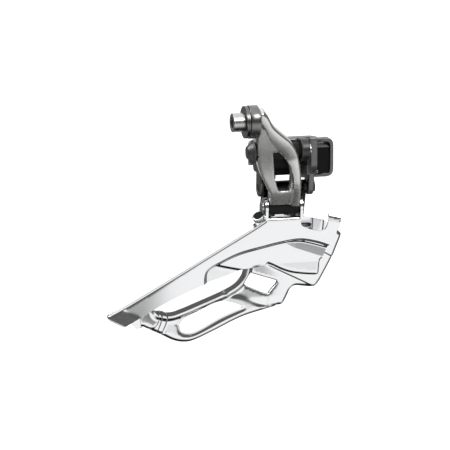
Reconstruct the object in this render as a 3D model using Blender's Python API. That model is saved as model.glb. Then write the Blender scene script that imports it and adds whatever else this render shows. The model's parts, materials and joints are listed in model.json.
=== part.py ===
"""Front derailleur with a direct-mount saddle, built from separate solids.

Row frame: X points to the front of the bicycle, Y points inboard (towards the seat tube) and
Z points up.  The origin is the centre of the saddle face that lies against the frame's hanger.
All dimensions below are millimetres; MM turns them into metres.
"""
import math

import bmesh
import bpy
from mathutils import Matrix, Vector

MM = 0.001
ROUND_SEGMENTS = 40
SMOOTH_LIMIT = math.radians(35.0)

# Parallelogram: four pins parallel to X, given as (Y, Z)
LINK_TILT = math.radians(20.0)
LINK_LENGTH = 28.52
PIN_A = (-31.0, 9.0)
PIN_C = (-12.5, -11.0)
PIN_B = (
    PIN_A[0] + LINK_LENGTH * math.sin(LINK_TILT),
    PIN_A[1] - LINK_LENGTH * math.cos(LINK_TILT),
)
PIN_D = (
    PIN_C[0] + LINK_LENGTH * math.sin(LINK_TILT),
    PIN_C[1] - LINK_LENGTH * math.cos(LINK_TILT),
)
PIN_RADIUS = 1.7
PIN_BORE = 1.95
PIN_HEAD_RADIUS = 2.6
PIN_HEAD_LENGTH = 0.9
CLIP_OUTER = 2.9
CLIP_THICKNESS = 0.6
GAP = 0.3

# Saddle and its fixing bolt
SADDLE_HALF = 8.6
SADDLE_TOP = 8.5
SADDLE_BOTTOM = -9.0
SADDLE_FRONT = -3.2
SADDLE_RADIUS = 17.5
SADDLE_LIP = 1.9
SADDLE_RIM = 1.7
SADDLE_RECESS = 1.3
LAND_HALF = 3.8
HANGER_THICKNESS = 4.6
WASHER_BACK = 7.4
BOLT_RADIUS = 2.45
BOLT_BORE = 2.75
BOLT_REACH = -9.5

# Bracket lugs and ears, as X ranges
REAR_LUG = (-39.0, -35.9)
REAR_LUG_CONES = ((-39.0, 2.6, -36.6, 4.8), (-37.0, 4.4, -35.9, 6.0))
FRONT_LUG = (-14.7, -11.0)
FRONT_LUG_RADIUS = 5.0
REAR_EAR = (-28.8, -26.9)
FRONT_EAR = (-6.6, -4.0)
EAR_RADIUS = 3.7
SPINE_OUTBOARD = -26.4
SPINE_TOP = 13.8
SPINE_UNDERSIDE = -3.6

# Limit screws, both upright in the bracket
SCREW_X = -24.5
SCREW_Y = (-20.6, -15.0)
SCREW_RADIUS = 1.6
SCREW_BORE = 1.9
SCREW_HEAD_RADIUS = 2.2
SCREW_SEAT = 11.2
SCREW_TIP = -5.2

# Outer link: thickness measured outboard from the plane through its two pins
WEB_INNER = 2.0
WEB_FACE = 4.0
STRUT_FACE = 5.0
ARM_INNER = -1.0
BARREL_A = (-34.9, -15.7)
BARREL_A_RADIUS = 3.7
BARREL_B = (-27.1, -13.0)
BARREL_B_RADIUS = 3.5
BUSH_BORE = 1.9
BUSH_OUTER = 2.4
BUSH_SEAT = 2.6
ANCHOR_W = 15.6
BOSS = (-40.0, -33.9)
BOSS_RADIUS = 7.5
WASHER = (-41.6, -40.3)
WASHER_RADIUS = 7.2
ANCHOR_HEAD = (-47.1, -41.9)
ANCHOR_HEAD_RADIUS = 4.2

# Inner link
INNER_BARREL_C = (-26.5, -13.3)
INNER_REAR_ARM = (-26.5, -25.0)
INNER_FRONT_ARM = (-8.6, -7.0)
INNER_BARREL_RADIUS = 3.1
INNER_WEB_HALF = 0.8
INNER_ARM_HALF = 1.9

# Cage
SHEET = 1.2
OUTER_FACE = -24.5
PANEL_DROP = 1.0
INNER_FACE = -11.5
INNER_STEP = 1.1
SHELF_TOP = -22.7
SHELF_INBOARD = -13.0
REAR_CAGE_EAR = (-28.6, -27.4)
FRONT_CAGE_EAR = (-12.7, -11.5)
REAR_INNER_EAR = (-28.2, -26.8)
FRONT_INNER_EAR = (-6.7, -5.3)
RIVET_RADIUS = 1.2
RIVET_BORE = 1.4
RIVET_HEAD = 2.2
RIVETS = ((-24.0, -15.6), (-15.6, -15.6))

# Eye at the bridge's rear end, with the resin plug in it
EYE_CENTRE = (-30.2, -19.6, -22.3)
EYE_NORMAL = (-0.487, -0.388, 0.78)
EYE_RADIUS = 2.9
PLUG_RADIUS = 1.9

# Tail joint: where the rivet's axis meets the outer plate's end flange, and the flange's normal
TAIL_POINT = (-95.37, -66.39)
TAIL_RIVET_Y = -16.0
TAIL_NORMAL = (0.467, 0.884)

# Curve that the stamped step of the outer plate follows, from the tail side to the front edge
ARCH = [
    (-56.6, -50.6), (-56.7, -47.8), (-56.3, -45.3), (-54.9, -43.6), (-52.1, -41.9),
    (-48.4, -40.1), (-44.3, -38.4), (-40.2, -36.8), (-35.6, -35.7), (-30.0, -34.6),
    (-25.4, -33.7), (-21.3, -32.8), (-17.1, -32.1), (-12.5, -31.9), (-7.9, -32.6),
    (-3.3, -33.9), (0.8, -35.2),
]
OUTER_LOWER_EDGE = [
    (-2.4, -41.5), (-2.9, -47.6), (-3.8, -48.9), (-7.9, -49.1), (-12.5, -48.6),
    (-16.2, -47.8), (-21.7, -45.7), (-27.3, -43.2), (-35.6, -44.5), (-40.2, -45.4),
    (-47.1, -47.8), (-55.3, -50.6),
]
OUTER_TOP_EDGE = [
    (-35.1, -27.1), (-44.8, -32.5), (-58.6, -40.4), (-77.0, -50.6), (-90.8, -58.1),
    (-99.0, -62.0), (-101.0, -62.9),
]
OUTER_TAIL_LOWER = [
    (-93.5, -67.4), (-86.2, -64.0), (-77.9, -59.8), (-72.4, -57.4), (-66.8, -54.7),
    (-58.1, -51.3),
]
OUTER_FRONT = [
    (3.8, -30.0), (5.6, -27.4), (6.3, -23.3), (0.6, -21.7), (0.1, -25.3), (-0.6, -27.7),
    (-2.0, -29.0), (-3.8, -29.3), (-7.0, -28.6), (-10.2, -27.5), (-12.1, -26.0),
    (-12.8, -23.3), (-13.0, SHELF_TOP),
]
INNER_FRONT_EDGE = [
    (10.3, -33.5), (8.4, -39.0), (6.1, -43.9), (3.8, -47.8), (1.5, -52.7), (0.4, -54.7),
    (-1.2, -56.6), (-3.1, -57.2), (-9.1, -56.5), (-12.5, -56.7), (-13.4, -58.3),
    (-14.6, -60.5), (-15.5, -62.7), (-16.7, -64.2), (-18.3, -65.1),
]
INNER_BOTTOM_EDGE = [
    (-22.9, -65.7), (-27.5, -66.6), (-32.1, -67.8), (-36.7, -69.1), (-45.9, -72.7),
    (-55.1, -77.0), (-58.3, -78.2), (-62.9, -78.9), (-65.7, -78.2), (-68.9, -76.8),
    (-73.0, -74.7), (-78.1, -72.2), (-81.3, -70.9), (-83.6, -71.7), (-87.3, -70.2),
]
INNER_STEP_LINE = [
    (-19.2, -64.3), (-26.5, -63.1), (-32.1, -60.5), (-36.7, -58.7), (-39.9, -57.4),
    (-43.6, -56.4),
]
INNER_UPPER_LIP = [
    (-35.1, -47.5), (-35.8, -48.6), (-37.6, -51.0), (-39.9, -52.9), (-43.1, -55.0),
    (-45.9, -56.2), (-50.5, -58.2), (-55.1, -59.8), (-59.7, -61.4), (-64.3, -63.4),
    (-68.0, -64.6), (-70.7, -64.7), (-73.0, -63.9),
]
INNER_SLOT = [
    (-64.7, -70.4), (-63.8, -68.0), (-57.4, -65.6), (-49.1, -62.2), (-46.3, -60.9),
    (-44.0, -61.0), (-36.6, -63.8), (-36.6, -65.5), (-43.6, -68.1), (-52.8, -71.9),
    (-59.2, -74.3), (-62.6, -73.8),
]
INNER_WINDOW = [
    (-31.3, -49.1), (-19.4, -53.6), (-23.6, -58.4), (-34.5, -54.4),
]
LINK_RIGHT_EDGE = [
    (-33.9, 23.4), (-33.2, 22.4), (-32.0, 20.4), (-30.6, 17.6), (-29.2, 14.6), (-27.4, 13.0),
    (-25.4, 11.1), (-22.9, 9.0), (-20.4, 6.4), (-18.2, 3.1), (-16.5, -0.6), (-15.5, -4.3),
    (-14.7, -8.9), (-13.9, -17.3), (-13.3, -25.4),
]
LINK_STRUT_LEFT = [
    (-17.4, -25.4), (-17.7, -18.1), (-17.7, -13.0), (-18.4, -9.8), (-19.4, -6.6), (-20.8, -3.9),
    (-22.9, -1.3), (-25.0, 1.4), (-26.5, 3.1), (-28.1, 5.2), (-29.7, 7.9), (-31.9, 12.1),
    (-34.0, 15.1), (-36.1, 17.3), (-36.6, 20.0),
]
LINK_LEFT_EDGE = [
    (-26.9, -25.4), (-27.1, -21.0), (-27.4, -19.3), (-29.2, -16.3), (-30.9, -13.0),
    (-32.6, -9.3), (-33.9, -5.1), (-34.7, -1.9), (-34.9, 4.4), (-35.6, 7.5), (-36.6, 16.3),
]
LINK_WINDOW = [
    (-27.7, -0.3), (-26.6, 2.4), (-24.3, 1.1), (-22.2, -2.1), (-20.1, -5.4), (-18.9, -8.5),
    (-18.2, -12.2), (-18.3, -18.4), (-21.6, -18.7), (-23.3, -17.8), (-24.7, -15.4),
    (-25.7, -11.8), (-26.7, -6.6),
]

# Solids joined from many overlapping blocks
MANY_PIECED = ("bracket_body", "outer_link", "cage_outer_plate", "cage_inner_plate")

PARTS = None
CUTTERS = None


def clear_scene():
    for item in list(bpy.data.objects):
        bpy.data.objects.remove(item, do_unlink=True)


def new_collection(name):
    made = bpy.data.collections.new(name)
    bpy.context.scene.collection.children.link(made)
    return made


def material(name, colour, roughness, metallic):
    made = bpy.data.materials.new(name)
    made.use_nodes = True
    shader = made.node_tree.nodes["Principled BSDF"]
    shader.inputs["Base Color"].default_value = (*colour, 1.0)
    shader.inputs["Roughness"].default_value = roughness
    shader.inputs["Metallic"].default_value = metallic
    made.diffuse_color = (*colour, 1.0)
    return made


def object_from_bmesh(bm, name):
    if bm.calc_volume(signed=True) < 0.0:
        bmesh.ops.reverse_faces(bm, faces=bm.faces)
    mesh = bpy.data.meshes.new(name)
    bm.to_mesh(mesh)
    bm.free()
    made = bpy.data.objects.new(name, mesh)
    PARTS.objects.link(made)
    return made


def drum(name, axis, centre, radius, low, high, segments=ROUND_SEGMENTS, high_radius=None):
    """Round bar along one axis, tapered if its high end has a radius of its own; centre gives
    its other two coordinates in axis order."""
    bm = bmesh.new()
    bmesh.ops.create_cone(
        bm, cap_ends=True, segments=segments, radius1=radius * MM,
        radius2=(high_radius or radius) * MM, depth=(high - low) * MM,
    )
    middle = (low + high) / 2.0
    if axis == "X":
        turn = Matrix.Rotation(math.radians(90.0), 4, "Y")
        place = Vector((middle, centre[0], centre[1]))
    elif axis == "Y":
        turn = Matrix.Rotation(math.radians(90.0), 4, "X")
        place = Vector((centre[0], middle, centre[1]))
    else:
        turn = Matrix.Identity(4)
        place = Vector((centre[0], centre[1], middle))
    bm.transform(Matrix.Translation(place * MM) @ turn)
    return object_from_bmesh(bm, name)


def slanted_drum(name, centre, normal, radius, low, high):
    """Round bar through a point, running from low to high along any normal."""
    bm = bmesh.new()
    bmesh.ops.create_cone(
        bm, cap_ends=True, segments=ROUND_SEGMENTS, radius1=radius * MM, radius2=radius * MM,
        depth=(high - low) * MM,
    )
    axis = Vector(normal).normalized()
    turn = Vector((0.0, 0.0, 1.0)).rotation_difference(axis).to_matrix().to_4x4()
    place = Vector(centre) + axis * (low + high) / 2.0
    bm.transform(Matrix.Translation(place * MM) @ turn)
    return object_from_bmesh(bm, name)


def block(name, low, high):
    bm = bmesh.new()
    bmesh.ops.create_cube(bm, size=1.0)
    size = Vector(high) - Vector(low)
    middle = (Vector(high) + Vector(low)) / 2.0
    bm.transform(Matrix.Translation(middle * MM) @ Matrix.Diagonal((*(size * MM), 1.0)))
    return object_from_bmesh(bm, name)


def rounded(points, radius, steps=4):
    """Outline with each corner replaced by an arc-like fillet of the given radius."""
    result = []
    count = len(points)
    for index in range(count):
        before = Vector(points[index - 1])
        corner = Vector(points[index])
        after = Vector(points[(index + 1) % count])
        reach_in = min(radius, (before - corner).length * 0.45)
        reach_out = min(radius, (after - corner).length * 0.45)
        start = corner + (before - corner).normalized() * reach_in
        end = corner + (after - corner).normalized() * reach_out
        for step in range(steps + 1):
            t = step / steps
            point = start.lerp(corner, t).lerp(corner.lerp(end, t), t)
            result.append((point.x, point.y))
    return result


def prism(name, loops, axis, low, high):
    """Flat outline (first loop) with holes (other loops), extruded along one axis."""
    curve = bpy.data.curves.new(name, "CURVE")
    curve.dimensions = "2D"
    curve.fill_mode = "BOTH"
    curve.extrude = (high - low) / 2.0 * MM
    for loop in loops:
        spline = curve.splines.new("POLY")
        spline.points.add(len(loop) - 1)
        for point, (first, second) in zip(spline.points, loop):
            point.co = (first * MM, second * MM, 0.0, 1.0)
        spline.use_cyclic_u = True
    holder = bpy.data.objects.new(name + "_outline", curve)
    PARTS.objects.link(holder)
    bpy.context.view_layer.update()
    mesh = bpy.data.meshes.new_from_object(
        holder.evaluated_get(bpy.context.evaluated_depsgraph_get())
    )
    bpy.data.objects.remove(holder, do_unlink=True)
    bm = bmesh.new()
    bm.from_mesh(mesh)
    bmesh.ops.remove_doubles(bm, verts=bm.verts, dist=1e-6)
    middle = (low + high) / 2.0 * MM
    if axis == "Y":
        turn = Matrix(((1, 0, 0, 0), (0, 0, -1, middle), (0, 1, 0, 0), (0, 0, 0, 1)))
    elif axis == "X":
        turn = Matrix(((0, 0, 1, middle), (1, 0, 0, 0), (0, 1, 0, 0), (0, 0, 0, 1)))
    else:
        turn = Matrix.Translation((0, 0, middle))
    bm.transform(turn)
    return object_from_bmesh(bm, name)


def band(points, width):
    """Closed outline of a strip that lies on one side of a polyline."""
    offset = []
    count = len(points)
    for index in range(count):
        here = Vector(points[index])
        ahead = Vector(points[min(index + 1, count - 1)])
        behind = Vector(points[max(index - 1, 0)])
        run = (ahead - behind).normalized()
        side = Vector((-run.y, run.x))
        moved = here + side * width
        offset.append((moved.x, moved.y))
    return list(points) + offset[::-1]


def combine(target, others, operation):
    for other in others:
        modifier = target.modifiers.new(other.name, "BOOLEAN")
        modifier.operation = operation
        modifier.solver = "MANIFOLD" if target.name in MANY_PIECED else "EXACT"
        modifier.object = other
        PARTS.objects.unlink(other)
        CUTTERS.objects.link(other)
        other.hide_render = True
        other.display_type = "WIRE"
    return target


def fuse(target, others):
    return combine(target, others, "UNION")


def cut(target, others):
    return combine(target, others, "DIFFERENCE")


def bake(target):
    """Replace the modifier stack by its result, so later steps start from a plain mesh."""
    bpy.context.view_layer.update()
    mesh = bpy.data.meshes.new_from_object(
        target.evaluated_get(bpy.context.evaluated_depsgraph_get())
    )
    target.modifiers.clear()
    target.data = mesh
    return target


def finish(target, paint):
    bake(target)
    bm = bmesh.new()
    bm.from_mesh(target.data)
    for face in bm.faces:
        face.smooth = True
    for edge in bm.edges:
        edge.smooth = len(edge.link_faces) == 2 and edge.calc_face_angle(0.0) < SMOOTH_LIMIT
    bm.to_mesh(target.data)
    bm.free()
    target.data.name = target.name
    target.data.materials.clear()
    target.data.materials.append(paint)
    return target


def place_on_link(target, pin):
    """Put a piece drawn in the link's own upright frame on its pin, leaning by the rest tilt."""
    target.location = (0.0, pin[0] * MM, pin[1] * MM)
    target.rotation_euler = (LINK_TILT, 0.0, 0.0)
    return target


def headed_pin(name, pin, head_x, end_x, paint):
    """Pin from head_x to end_x, with its head on the far side of head_x."""
    away = 1.0 if head_x > end_x else -1.0
    shaft = drum(name, "X", pin, PIN_RADIUS, min(head_x, end_x), max(head_x, end_x))
    span = sorted((head_x - 0.05 * away, head_x + PIN_HEAD_LENGTH * away))
    head = drum(name + "_head", "X", pin, PIN_HEAD_RADIUS, *span)
    fuse(shaft, [head])
    return finish(shaft, paint)


def retaining_clip(name, pin, start_x, paint):
    """Spring clip: a ring with a quarter missing."""
    inner = PIN_RADIUS + 0.15
    opening = math.radians(40.0)
    steps = 28
    outline = []
    for step in range(steps + 1):
        angle = opening + (2 * math.pi - 2 * opening) * step / steps
        outline.append((pin[0] + CLIP_OUTER * math.sin(angle),
                        pin[1] - CLIP_OUTER * math.cos(angle)))
    for step in range(steps, -1, -1):
        angle = opening + (2 * math.pi - 2 * opening) * step / steps
        outline.append((pin[0] + inner * math.sin(angle), pin[1] - inner * math.cos(angle)))
    clip = prism(name, [outline], "X", start_x, start_x + CLIP_THICKNESS)
    return finish(clip, paint)


def ear_outline(pin, radius, root_z, inboard_y, outboard_y, steps=14):
    """Outline in (Y, Z) of an ear that hangs from a root and ends round under its pin."""
    outline = [(outboard_y, root_z), (inboard_y, root_z)]
    for step in range(steps + 1):
        angle = -math.pi * step / steps
        outline.append((pin[0] + radius * math.cos(angle), pin[1] + radius * math.sin(angle)))
    return outline


def build_bracket(paint):
    profile = rounded(
        [(SPINE_OUTBOARD, SPINE_TOP), (SPINE_OUTBOARD, 0.5), (-23.4, SPINE_UNDERSIDE),
         (-9.0, SPINE_UNDERSIDE), (-7.5, 0.0), (-8.0, 9.8), (-14.0, 12.2)], 1.5)
    body = prism("bracket_body", [profile], "X", -30.0, -5.2)
    rear_arm = prism(
        "rear_arm",
        [[(-38.2, -31.0), (REAR_LUG[1], -31.0), (REAR_LUG[1], -26.6), (-29.0, SPINE_OUTBOARD),
          (-29.0, -19.0), (-32.5, -19.4), (-36.2, -24.6), (-37.6, -28.4)]],
        "Z", 3.2, 13.0)
    rear_lug = []
    for index, (x, radius, end_x, end_radius) in enumerate(REAR_LUG_CONES):
        rear_lug.append(drum(f"rear_lug_{index}", "X", PIN_A, radius, x, end_x,
                             high_radius=end_radius))
    front_lug = drum("front_lug", "X", PIN_A, FRONT_LUG_RADIUS, *FRONT_LUG)
    front_web = prism(
        "front_web",
        [[(PIN_A[0], 14.0), (PIN_A[0], 4.0), (-27.0, 1.6), (-22.0, SPINE_UNDERSIDE),
          (-14.0, SPINE_UNDERSIDE), (-14.0, 12.0), (-24.0, SPINE_TOP - 0.3)]],
        "X", *FRONT_LUG)
    shoulder = prism(
        "shoulder",
        [[(-11.3, -32.0), (-9.5, -29.0), (-6.0, -21.0), (-3.6, -12.0), (-3.6, -9.0),
          (-16.0, -9.0), (-14.2, -26.0)]],
        "Z", -2.4, 10.4)
    shoulder_foot = block("shoulder_foot", (-14.0, -23.0, SPINE_UNDERSIDE), (-3.9, -9.5, -2.0))
    neck = prism(
        "neck",
        [rounded([(-8.6, -12.0), (4.3, -12.0), (4.3, -1.0), (-8.6, -1.0)], 0.8)],
        "Z", -5.6, 6.2)
    neck_top = block("neck_top", (-8.4, -11.8, 5.0), (-1.9, -2.6, 8.2))
    saddle = prism(
        "saddle",
        [rounded([(-SADDLE_HALF, SADDLE_BOTTOM), (SADDLE_HALF, SADDLE_BOTTOM),
                  (SADDLE_HALF, SADDLE_TOP), (-SADDLE_HALF, SADDLE_TOP)], 3.6, 6)],
        "Y", SADDLE_FRONT, SADDLE_LIP)
    inset = SADDLE_HALF - SADDLE_RIM
    recess = prism(
        "saddle_recess",
        [rounded([(-inset, SADDLE_BOTTOM + SADDLE_RIM), (inset, SADDLE_BOTTOM + SADDLE_RIM),
                  (inset, SADDLE_TOP - SADDLE_RIM), (-inset, SADDLE_TOP - SADDLE_RIM)], 2.4, 6)],
        "Y", SADDLE_FRONT - 1.0, SADDLE_FRONT + SADDLE_RECESS)
    cut(saddle, [recess])
    bake(saddle)
    rear_ear = prism(
        "rear_ear", [ear_outline(PIN_C, EAR_RADIUS, -2.6, -9.2, -17.4)],
        "X", *REAR_EAR)
    front_ear = prism(
        "front_ear", [ear_outline(PIN_C, EAR_RADIUS, -2.6, -9.2, -17.4)],
        "X", *FRONT_EAR)
    fuse(body, [rear_arm, *rear_lug, front_lug, front_web, shoulder, shoulder_foot,
                neck, neck_top, saddle, rear_ear, front_ear])

    tube = drum("seat_tube_form", "Z", (0.0, SADDLE_RADIUS), SADDLE_RADIUS, -14.0, 14.0, 128)
    land = block("saddle_land", (-LAND_HALF, 0.0, -14.0), (LAND_HALF, 6.0, 14.0))
    bolt_bore = drum("bolt_bore", "Y", (0.0, 0.0), BOLT_BORE, BOLT_REACH - GAP, 6.0)
    pin_a_bore = drum("pin_a_bore", "X", PIN_A, PIN_BORE, REAR_LUG[0] + 1.2, FRONT_LUG[1] + 1.0)
    pin_a_seat = drum("pin_a_seat", "X", PIN_A, PIN_HEAD_RADIUS + GAP, FRONT_LUG[1], -6.0)
    pin_c_bore = drum("pin_c_bore", "X", PIN_C, PIN_BORE, REAR_EAR[0] - 1.0, FRONT_EAR[1] + 1.0)
    link_room = drum("link_room", "X", PIN_A, BARREL_A_RADIUS + 0.7, REAR_LUG[1], FRONT_LUG[0])
    tools = [tube, land, bolt_bore, pin_a_bore, pin_a_seat, pin_c_bore, link_room]
    for index, screw_y in enumerate(SCREW_Y):
        where = (SCREW_X, screw_y)
        tools.append(drum(f"screw_bore_{index}", "Z", where, SCREW_BORE, -8.0, 18.0))
        tools.append(drum(f"screw_seat_{index}", "Z", where, SCREW_HEAD_RADIUS + GAP,
                          SCREW_SEAT, 18.0))
    cut(body, tools)
    return finish(body, paint)


def build_fixing_bolt(paint):
    bolt = drum("fixing_bolt", "Y", (0.0, 0.0), BOLT_RADIUS, BOLT_REACH, WASHER_BACK + 1.0)
    head = drum("fixing_bolt_head", "Y", (0.0, 0.0), 4.1, WASHER_BACK + GAP, WASHER_BACK + 3.9)
    fuse(bolt, [head])
    socket = drum("fixing_bolt_socket", "Y", (0.0, 0.0), 2.75, WASHER_BACK + 1.5,
                  WASHER_BACK + 6.0, 6)
    cut(bolt, [socket])
    return finish(bolt, paint)


def build_radius_washer(paint):
    """Square washer with a convex seat that follows the back of the frame's hanger."""
    half = 5.0
    seat_radius = SADDLE_RADIUS - HANGER_THICKNESS
    outline = [(half, WASHER_BACK), (-half, WASHER_BACK)]
    for step in range(13):
        x = -half + 2 * half * step / 12
        outline.append((x, SADDLE_RADIUS - math.sqrt(seat_radius ** 2 - x ** 2)))
    washer = prism("radius_washer", [outline], "Z", -half, half)
    bore = drum("washer_bore", "Y", (0.0, 0.0), BOLT_BORE, 0.0, WASHER_BACK + 2.0)
    cut(washer, [bore])
    return finish(washer, paint)


def build_limit_screw(name, screw_y, paint):
    where = (SCREW_X, screw_y)
    seat = SCREW_SEAT + GAP
    screw = drum(name, "Z", where, SCREW_RADIUS, SCREW_TIP, seat + 0.5)
    head = drum(name + "_head", "Z", where, SCREW_HEAD_RADIUS, seat, seat + 1.7)
    fuse(screw, [head])
    slots = []
    for index, reach in enumerate(((1.5, 0.35), (0.35, 1.5))):
        slots.append(block(
            f"{name}_slot_{index}",
            (where[0] - reach[0], where[1] - reach[1], seat + 0.8),
            (where[0] + reach[0], where[1] + reach[1], seat + 3.0)))
    cross = fuse(slots[0], [slots[1]])
    cut(screw, [cross])
    return finish(screw, paint)


def build_outer_link(paint):
    outer_loop = LINK_RIGHT_EDGE + LINK_LEFT_EDGE + [(-36.6, 20.0), (-36.4, 23.4)]
    window = rounded(LINK_WINDOW, 0.8, 2)
    web = prism("outer_link", [outer_loop, window], "Y", -WEB_FACE, -WEB_INNER)
    strut = prism("outer_link_strut", [LINK_RIGHT_EDGE + LINK_STRUT_LEFT], "Y", -STRUT_FACE,
                  -WEB_INNER - 0.4)
    arm_loop = [point for point in LINK_RIGHT_EDGE if point[1] > 5.0]
    arm_loop += [(-21.0, 4.4), (-34.9, 4.4), (-35.6, 7.5), (-36.6, 16.3), (-36.4, 23.4)]
    arm = prism("outer_link_arm", [arm_loop], "Y", -WEB_FACE + 0.3, -ARM_INNER)
    barrel_a = drum("outer_link_barrel_a", "X", (0.0, 0.0), BARREL_A_RADIUS, *BARREL_A)
    barrel_b = drum("outer_link_barrel_b", "X", (0.0, -LINK_LENGTH), BARREL_B_RADIUS, *BARREL_B)
    boss = drum("outer_link_boss", "X", (0.0, ANCHOR_W), BOSS_RADIUS, *BOSS)
    lower_web = block("outer_link_lower_web", (BARREL_B[0] + 0.3, -WEB_FACE + 0.6,
                                               -LINK_LENGTH + 1.0),
                      (BARREL_B[1] - 0.3, -1.0, -24.0))
    fuse(web, [strut, arm, barrel_a, barrel_b, boss, lower_web])
    bore_a = drum("outer_link_bore_a", "X", (0.0, 0.0), BUSH_SEAT, -37.0, -12.0)
    bore_b = drum("outer_link_bore_b", "X", (0.0, -LINK_LENGTH), PIN_BORE, -30.0, -10.0)
    thread = drum("outer_link_thread", "X", (0.0, ANCHOR_W), BOLT_BORE, -43.0, -35.4)
    cut(web, [bore_a, bore_b, thread])
    finish(web, paint)
    return place_on_link(web, PIN_A)


def build_bush(name, low, high, flange_low, flange_high, paint):
    bush = drum(name, "X", (0.0, 0.0), BUSH_OUTER, low, high)
    flange = drum(name + "_flange", "X", (0.0, 0.0), 3.3, flange_low, flange_high)
    fuse(bush, [flange])
    bore = drum(name + "_bore", "X", (0.0, 0.0), BUSH_BORE, -60.0, 0.0)
    cut(bush, [bore])
    finish(bush, paint)
    return place_on_link(bush, PIN_A)


def build_anchor_bolt(paint):
    centre = (0.0, ANCHOR_W)
    bolt = drum("cable_anchor_bolt", "X", centre, BOLT_RADIUS, ANCHOR_HEAD[1] - 0.5, -35.8)
    head = drum("anchor_head", "X", centre, ANCHOR_HEAD_RADIUS, *ANCHOR_HEAD)
    fuse(bolt, [head])
    socket = drum("anchor_socket", "X", centre, 2.75, ANCHOR_HEAD[0] - 1.0,
                  ANCHOR_HEAD[0] + 3.2, 6)
    cut(bolt, [socket])
    finish(bolt, paint)
    return place_on_link(bolt, PIN_A)


def build_cable_washer(paint):
    centre = (0.0, ANCHOR_W)
    washer = drum("cable_washer", "X", centre, WASHER_RADIUS, *WASHER)
    bore = drum("cable_washer_bore", "X", centre, BOLT_BORE, WASHER[0] - 1.0, WASHER[1] + 1.0)
    groove = drum("cable_groove", "Z", (WASHER[1] + 0.2, 4.2), 0.8, ANCHOR_W - 9.0,
                  ANCHOR_W + 9.0, 20)
    cut(washer, [bore, groove])
    finish(washer, paint)
    return place_on_link(washer, PIN_A)


def build_inner_link(paint):
    barrel_c = drum("inner_link", "X", (0.0, 0.0), INNER_BARREL_RADIUS, *INNER_BARREL_C)
    arms = []
    for index, (low, high) in enumerate((INNER_REAR_ARM, INNER_FRONT_ARM)):
        arms.append(block(f"inner_link_arm_{index}", (low, -INNER_ARM_HALF, -LINK_LENGTH),
                          (high, INNER_ARM_HALF, 0.0)))
        arms.append(drum(f"inner_link_eye_{index}", "X", (0.0, 0.0), INNER_BARREL_RADIUS,
                         low, high))
    web = prism(
        "inner_link_web",
        [[(INNER_REAR_ARM[0] + 0.5, -1.5), (-14.0, -1.5), (-12.0, -6.5), (-7.5, -6.5),
          (-7.5, -27.0), (-26.0, -27.0)],
         rounded([(-22.5, -9.0), (-22.5, -20.0), (-12.0, -20.0), (-12.0, -10.0), (-14.0, -9.0)],
                 1.5)],
        "Y", -INNER_WEB_HALF, INNER_WEB_HALF)
    barrel_d = drum("inner_link_barrel_d", "X", (0.0, -LINK_LENGTH), INNER_BARREL_RADIUS,
                    INNER_REAR_ARM[0], INNER_FRONT_ARM[1])
    fuse(barrel_c, arms + [web, barrel_d])
    bore_c = drum("inner_link_bore_c", "X", (0.0, 0.0), PIN_BORE, -30.0, -4.0)
    bore_d = drum("inner_link_bore_d", "X", (0.0, -LINK_LENGTH), PIN_BORE, -30.0, -4.0)
    cut(barrel_c, [bore_c, bore_d])
    finish(barrel_c, paint)
    return place_on_link(barrel_c, PIN_C)


def build_return_spring(paint):
    """Torsion spring round the inner link's upper pin, with a leg on the bracket and one on
    the link."""
    turns = 2.5
    per_turn = 16
    coil_radius = 2.6
    start_x = -12.6
    pitch = 1.35
    points = [(start_x, -16.4, -4.6)]
    count = int(turns * per_turn)
    for step in range(count + 1):
        angle = math.pi + 2 * math.pi * step / per_turn
        points.append((start_x + pitch * step / per_turn,
                       PIN_C[0] + coil_radius * math.cos(angle),
                       PIN_C[1] - coil_radius * math.sin(angle)))
    last = points[-1]
    points.append((last[0], last[1] + 1.6, last[2] - 5.5))
    curve = bpy.data.curves.new("return_spring", "CURVE")
    curve.dimensions = "3D"
    curve.bevel_depth = 0.48 * MM
    curve.bevel_resolution = 2
    curve.use_fill_caps = True
    curve.resolution_u = 1
    curve.render_resolution_u = 0
    spline = curve.splines.new("POLY")
    spline.points.add(len(points) - 1)
    for point, place in zip(spline.points, points):
        point.co = (place[0] * MM, place[1] * MM, place[2] * MM, 1.0)
    holder = bpy.data.objects.new("return_spring_wire", curve)
    PARTS.objects.link(holder)
    bpy.context.view_layer.update()
    mesh = bpy.data.meshes.new_from_object(
        holder.evaluated_get(bpy.context.evaluated_depsgraph_get())
    )
    bpy.data.objects.remove(holder, do_unlink=True)
    bm = bmesh.new()
    bm.from_mesh(mesh)
    bmesh.ops.remove_doubles(bm, verts=bm.verts, dist=1e-6)
    spring = object_from_bmesh(bm, "return_spring")
    return finish(spring, paint)


def upright_ear(name, pin, low_x, high_x, half_width, root_z, top_radius):
    """Stamped ear standing on the shelf, rounded over the pin."""
    outline = [(pin[0] + half_width, root_z)]
    steps = 12
    for step in range(steps + 1):
        angle = math.pi * step / steps
        outline.append((pin[0] + half_width * math.cos(angle),
                        pin[1] + top_radius * math.sin(angle)))
    outline.append((pin[0] - half_width, root_z))
    return prism(name, [outline], "X", low_x, high_x)


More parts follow.
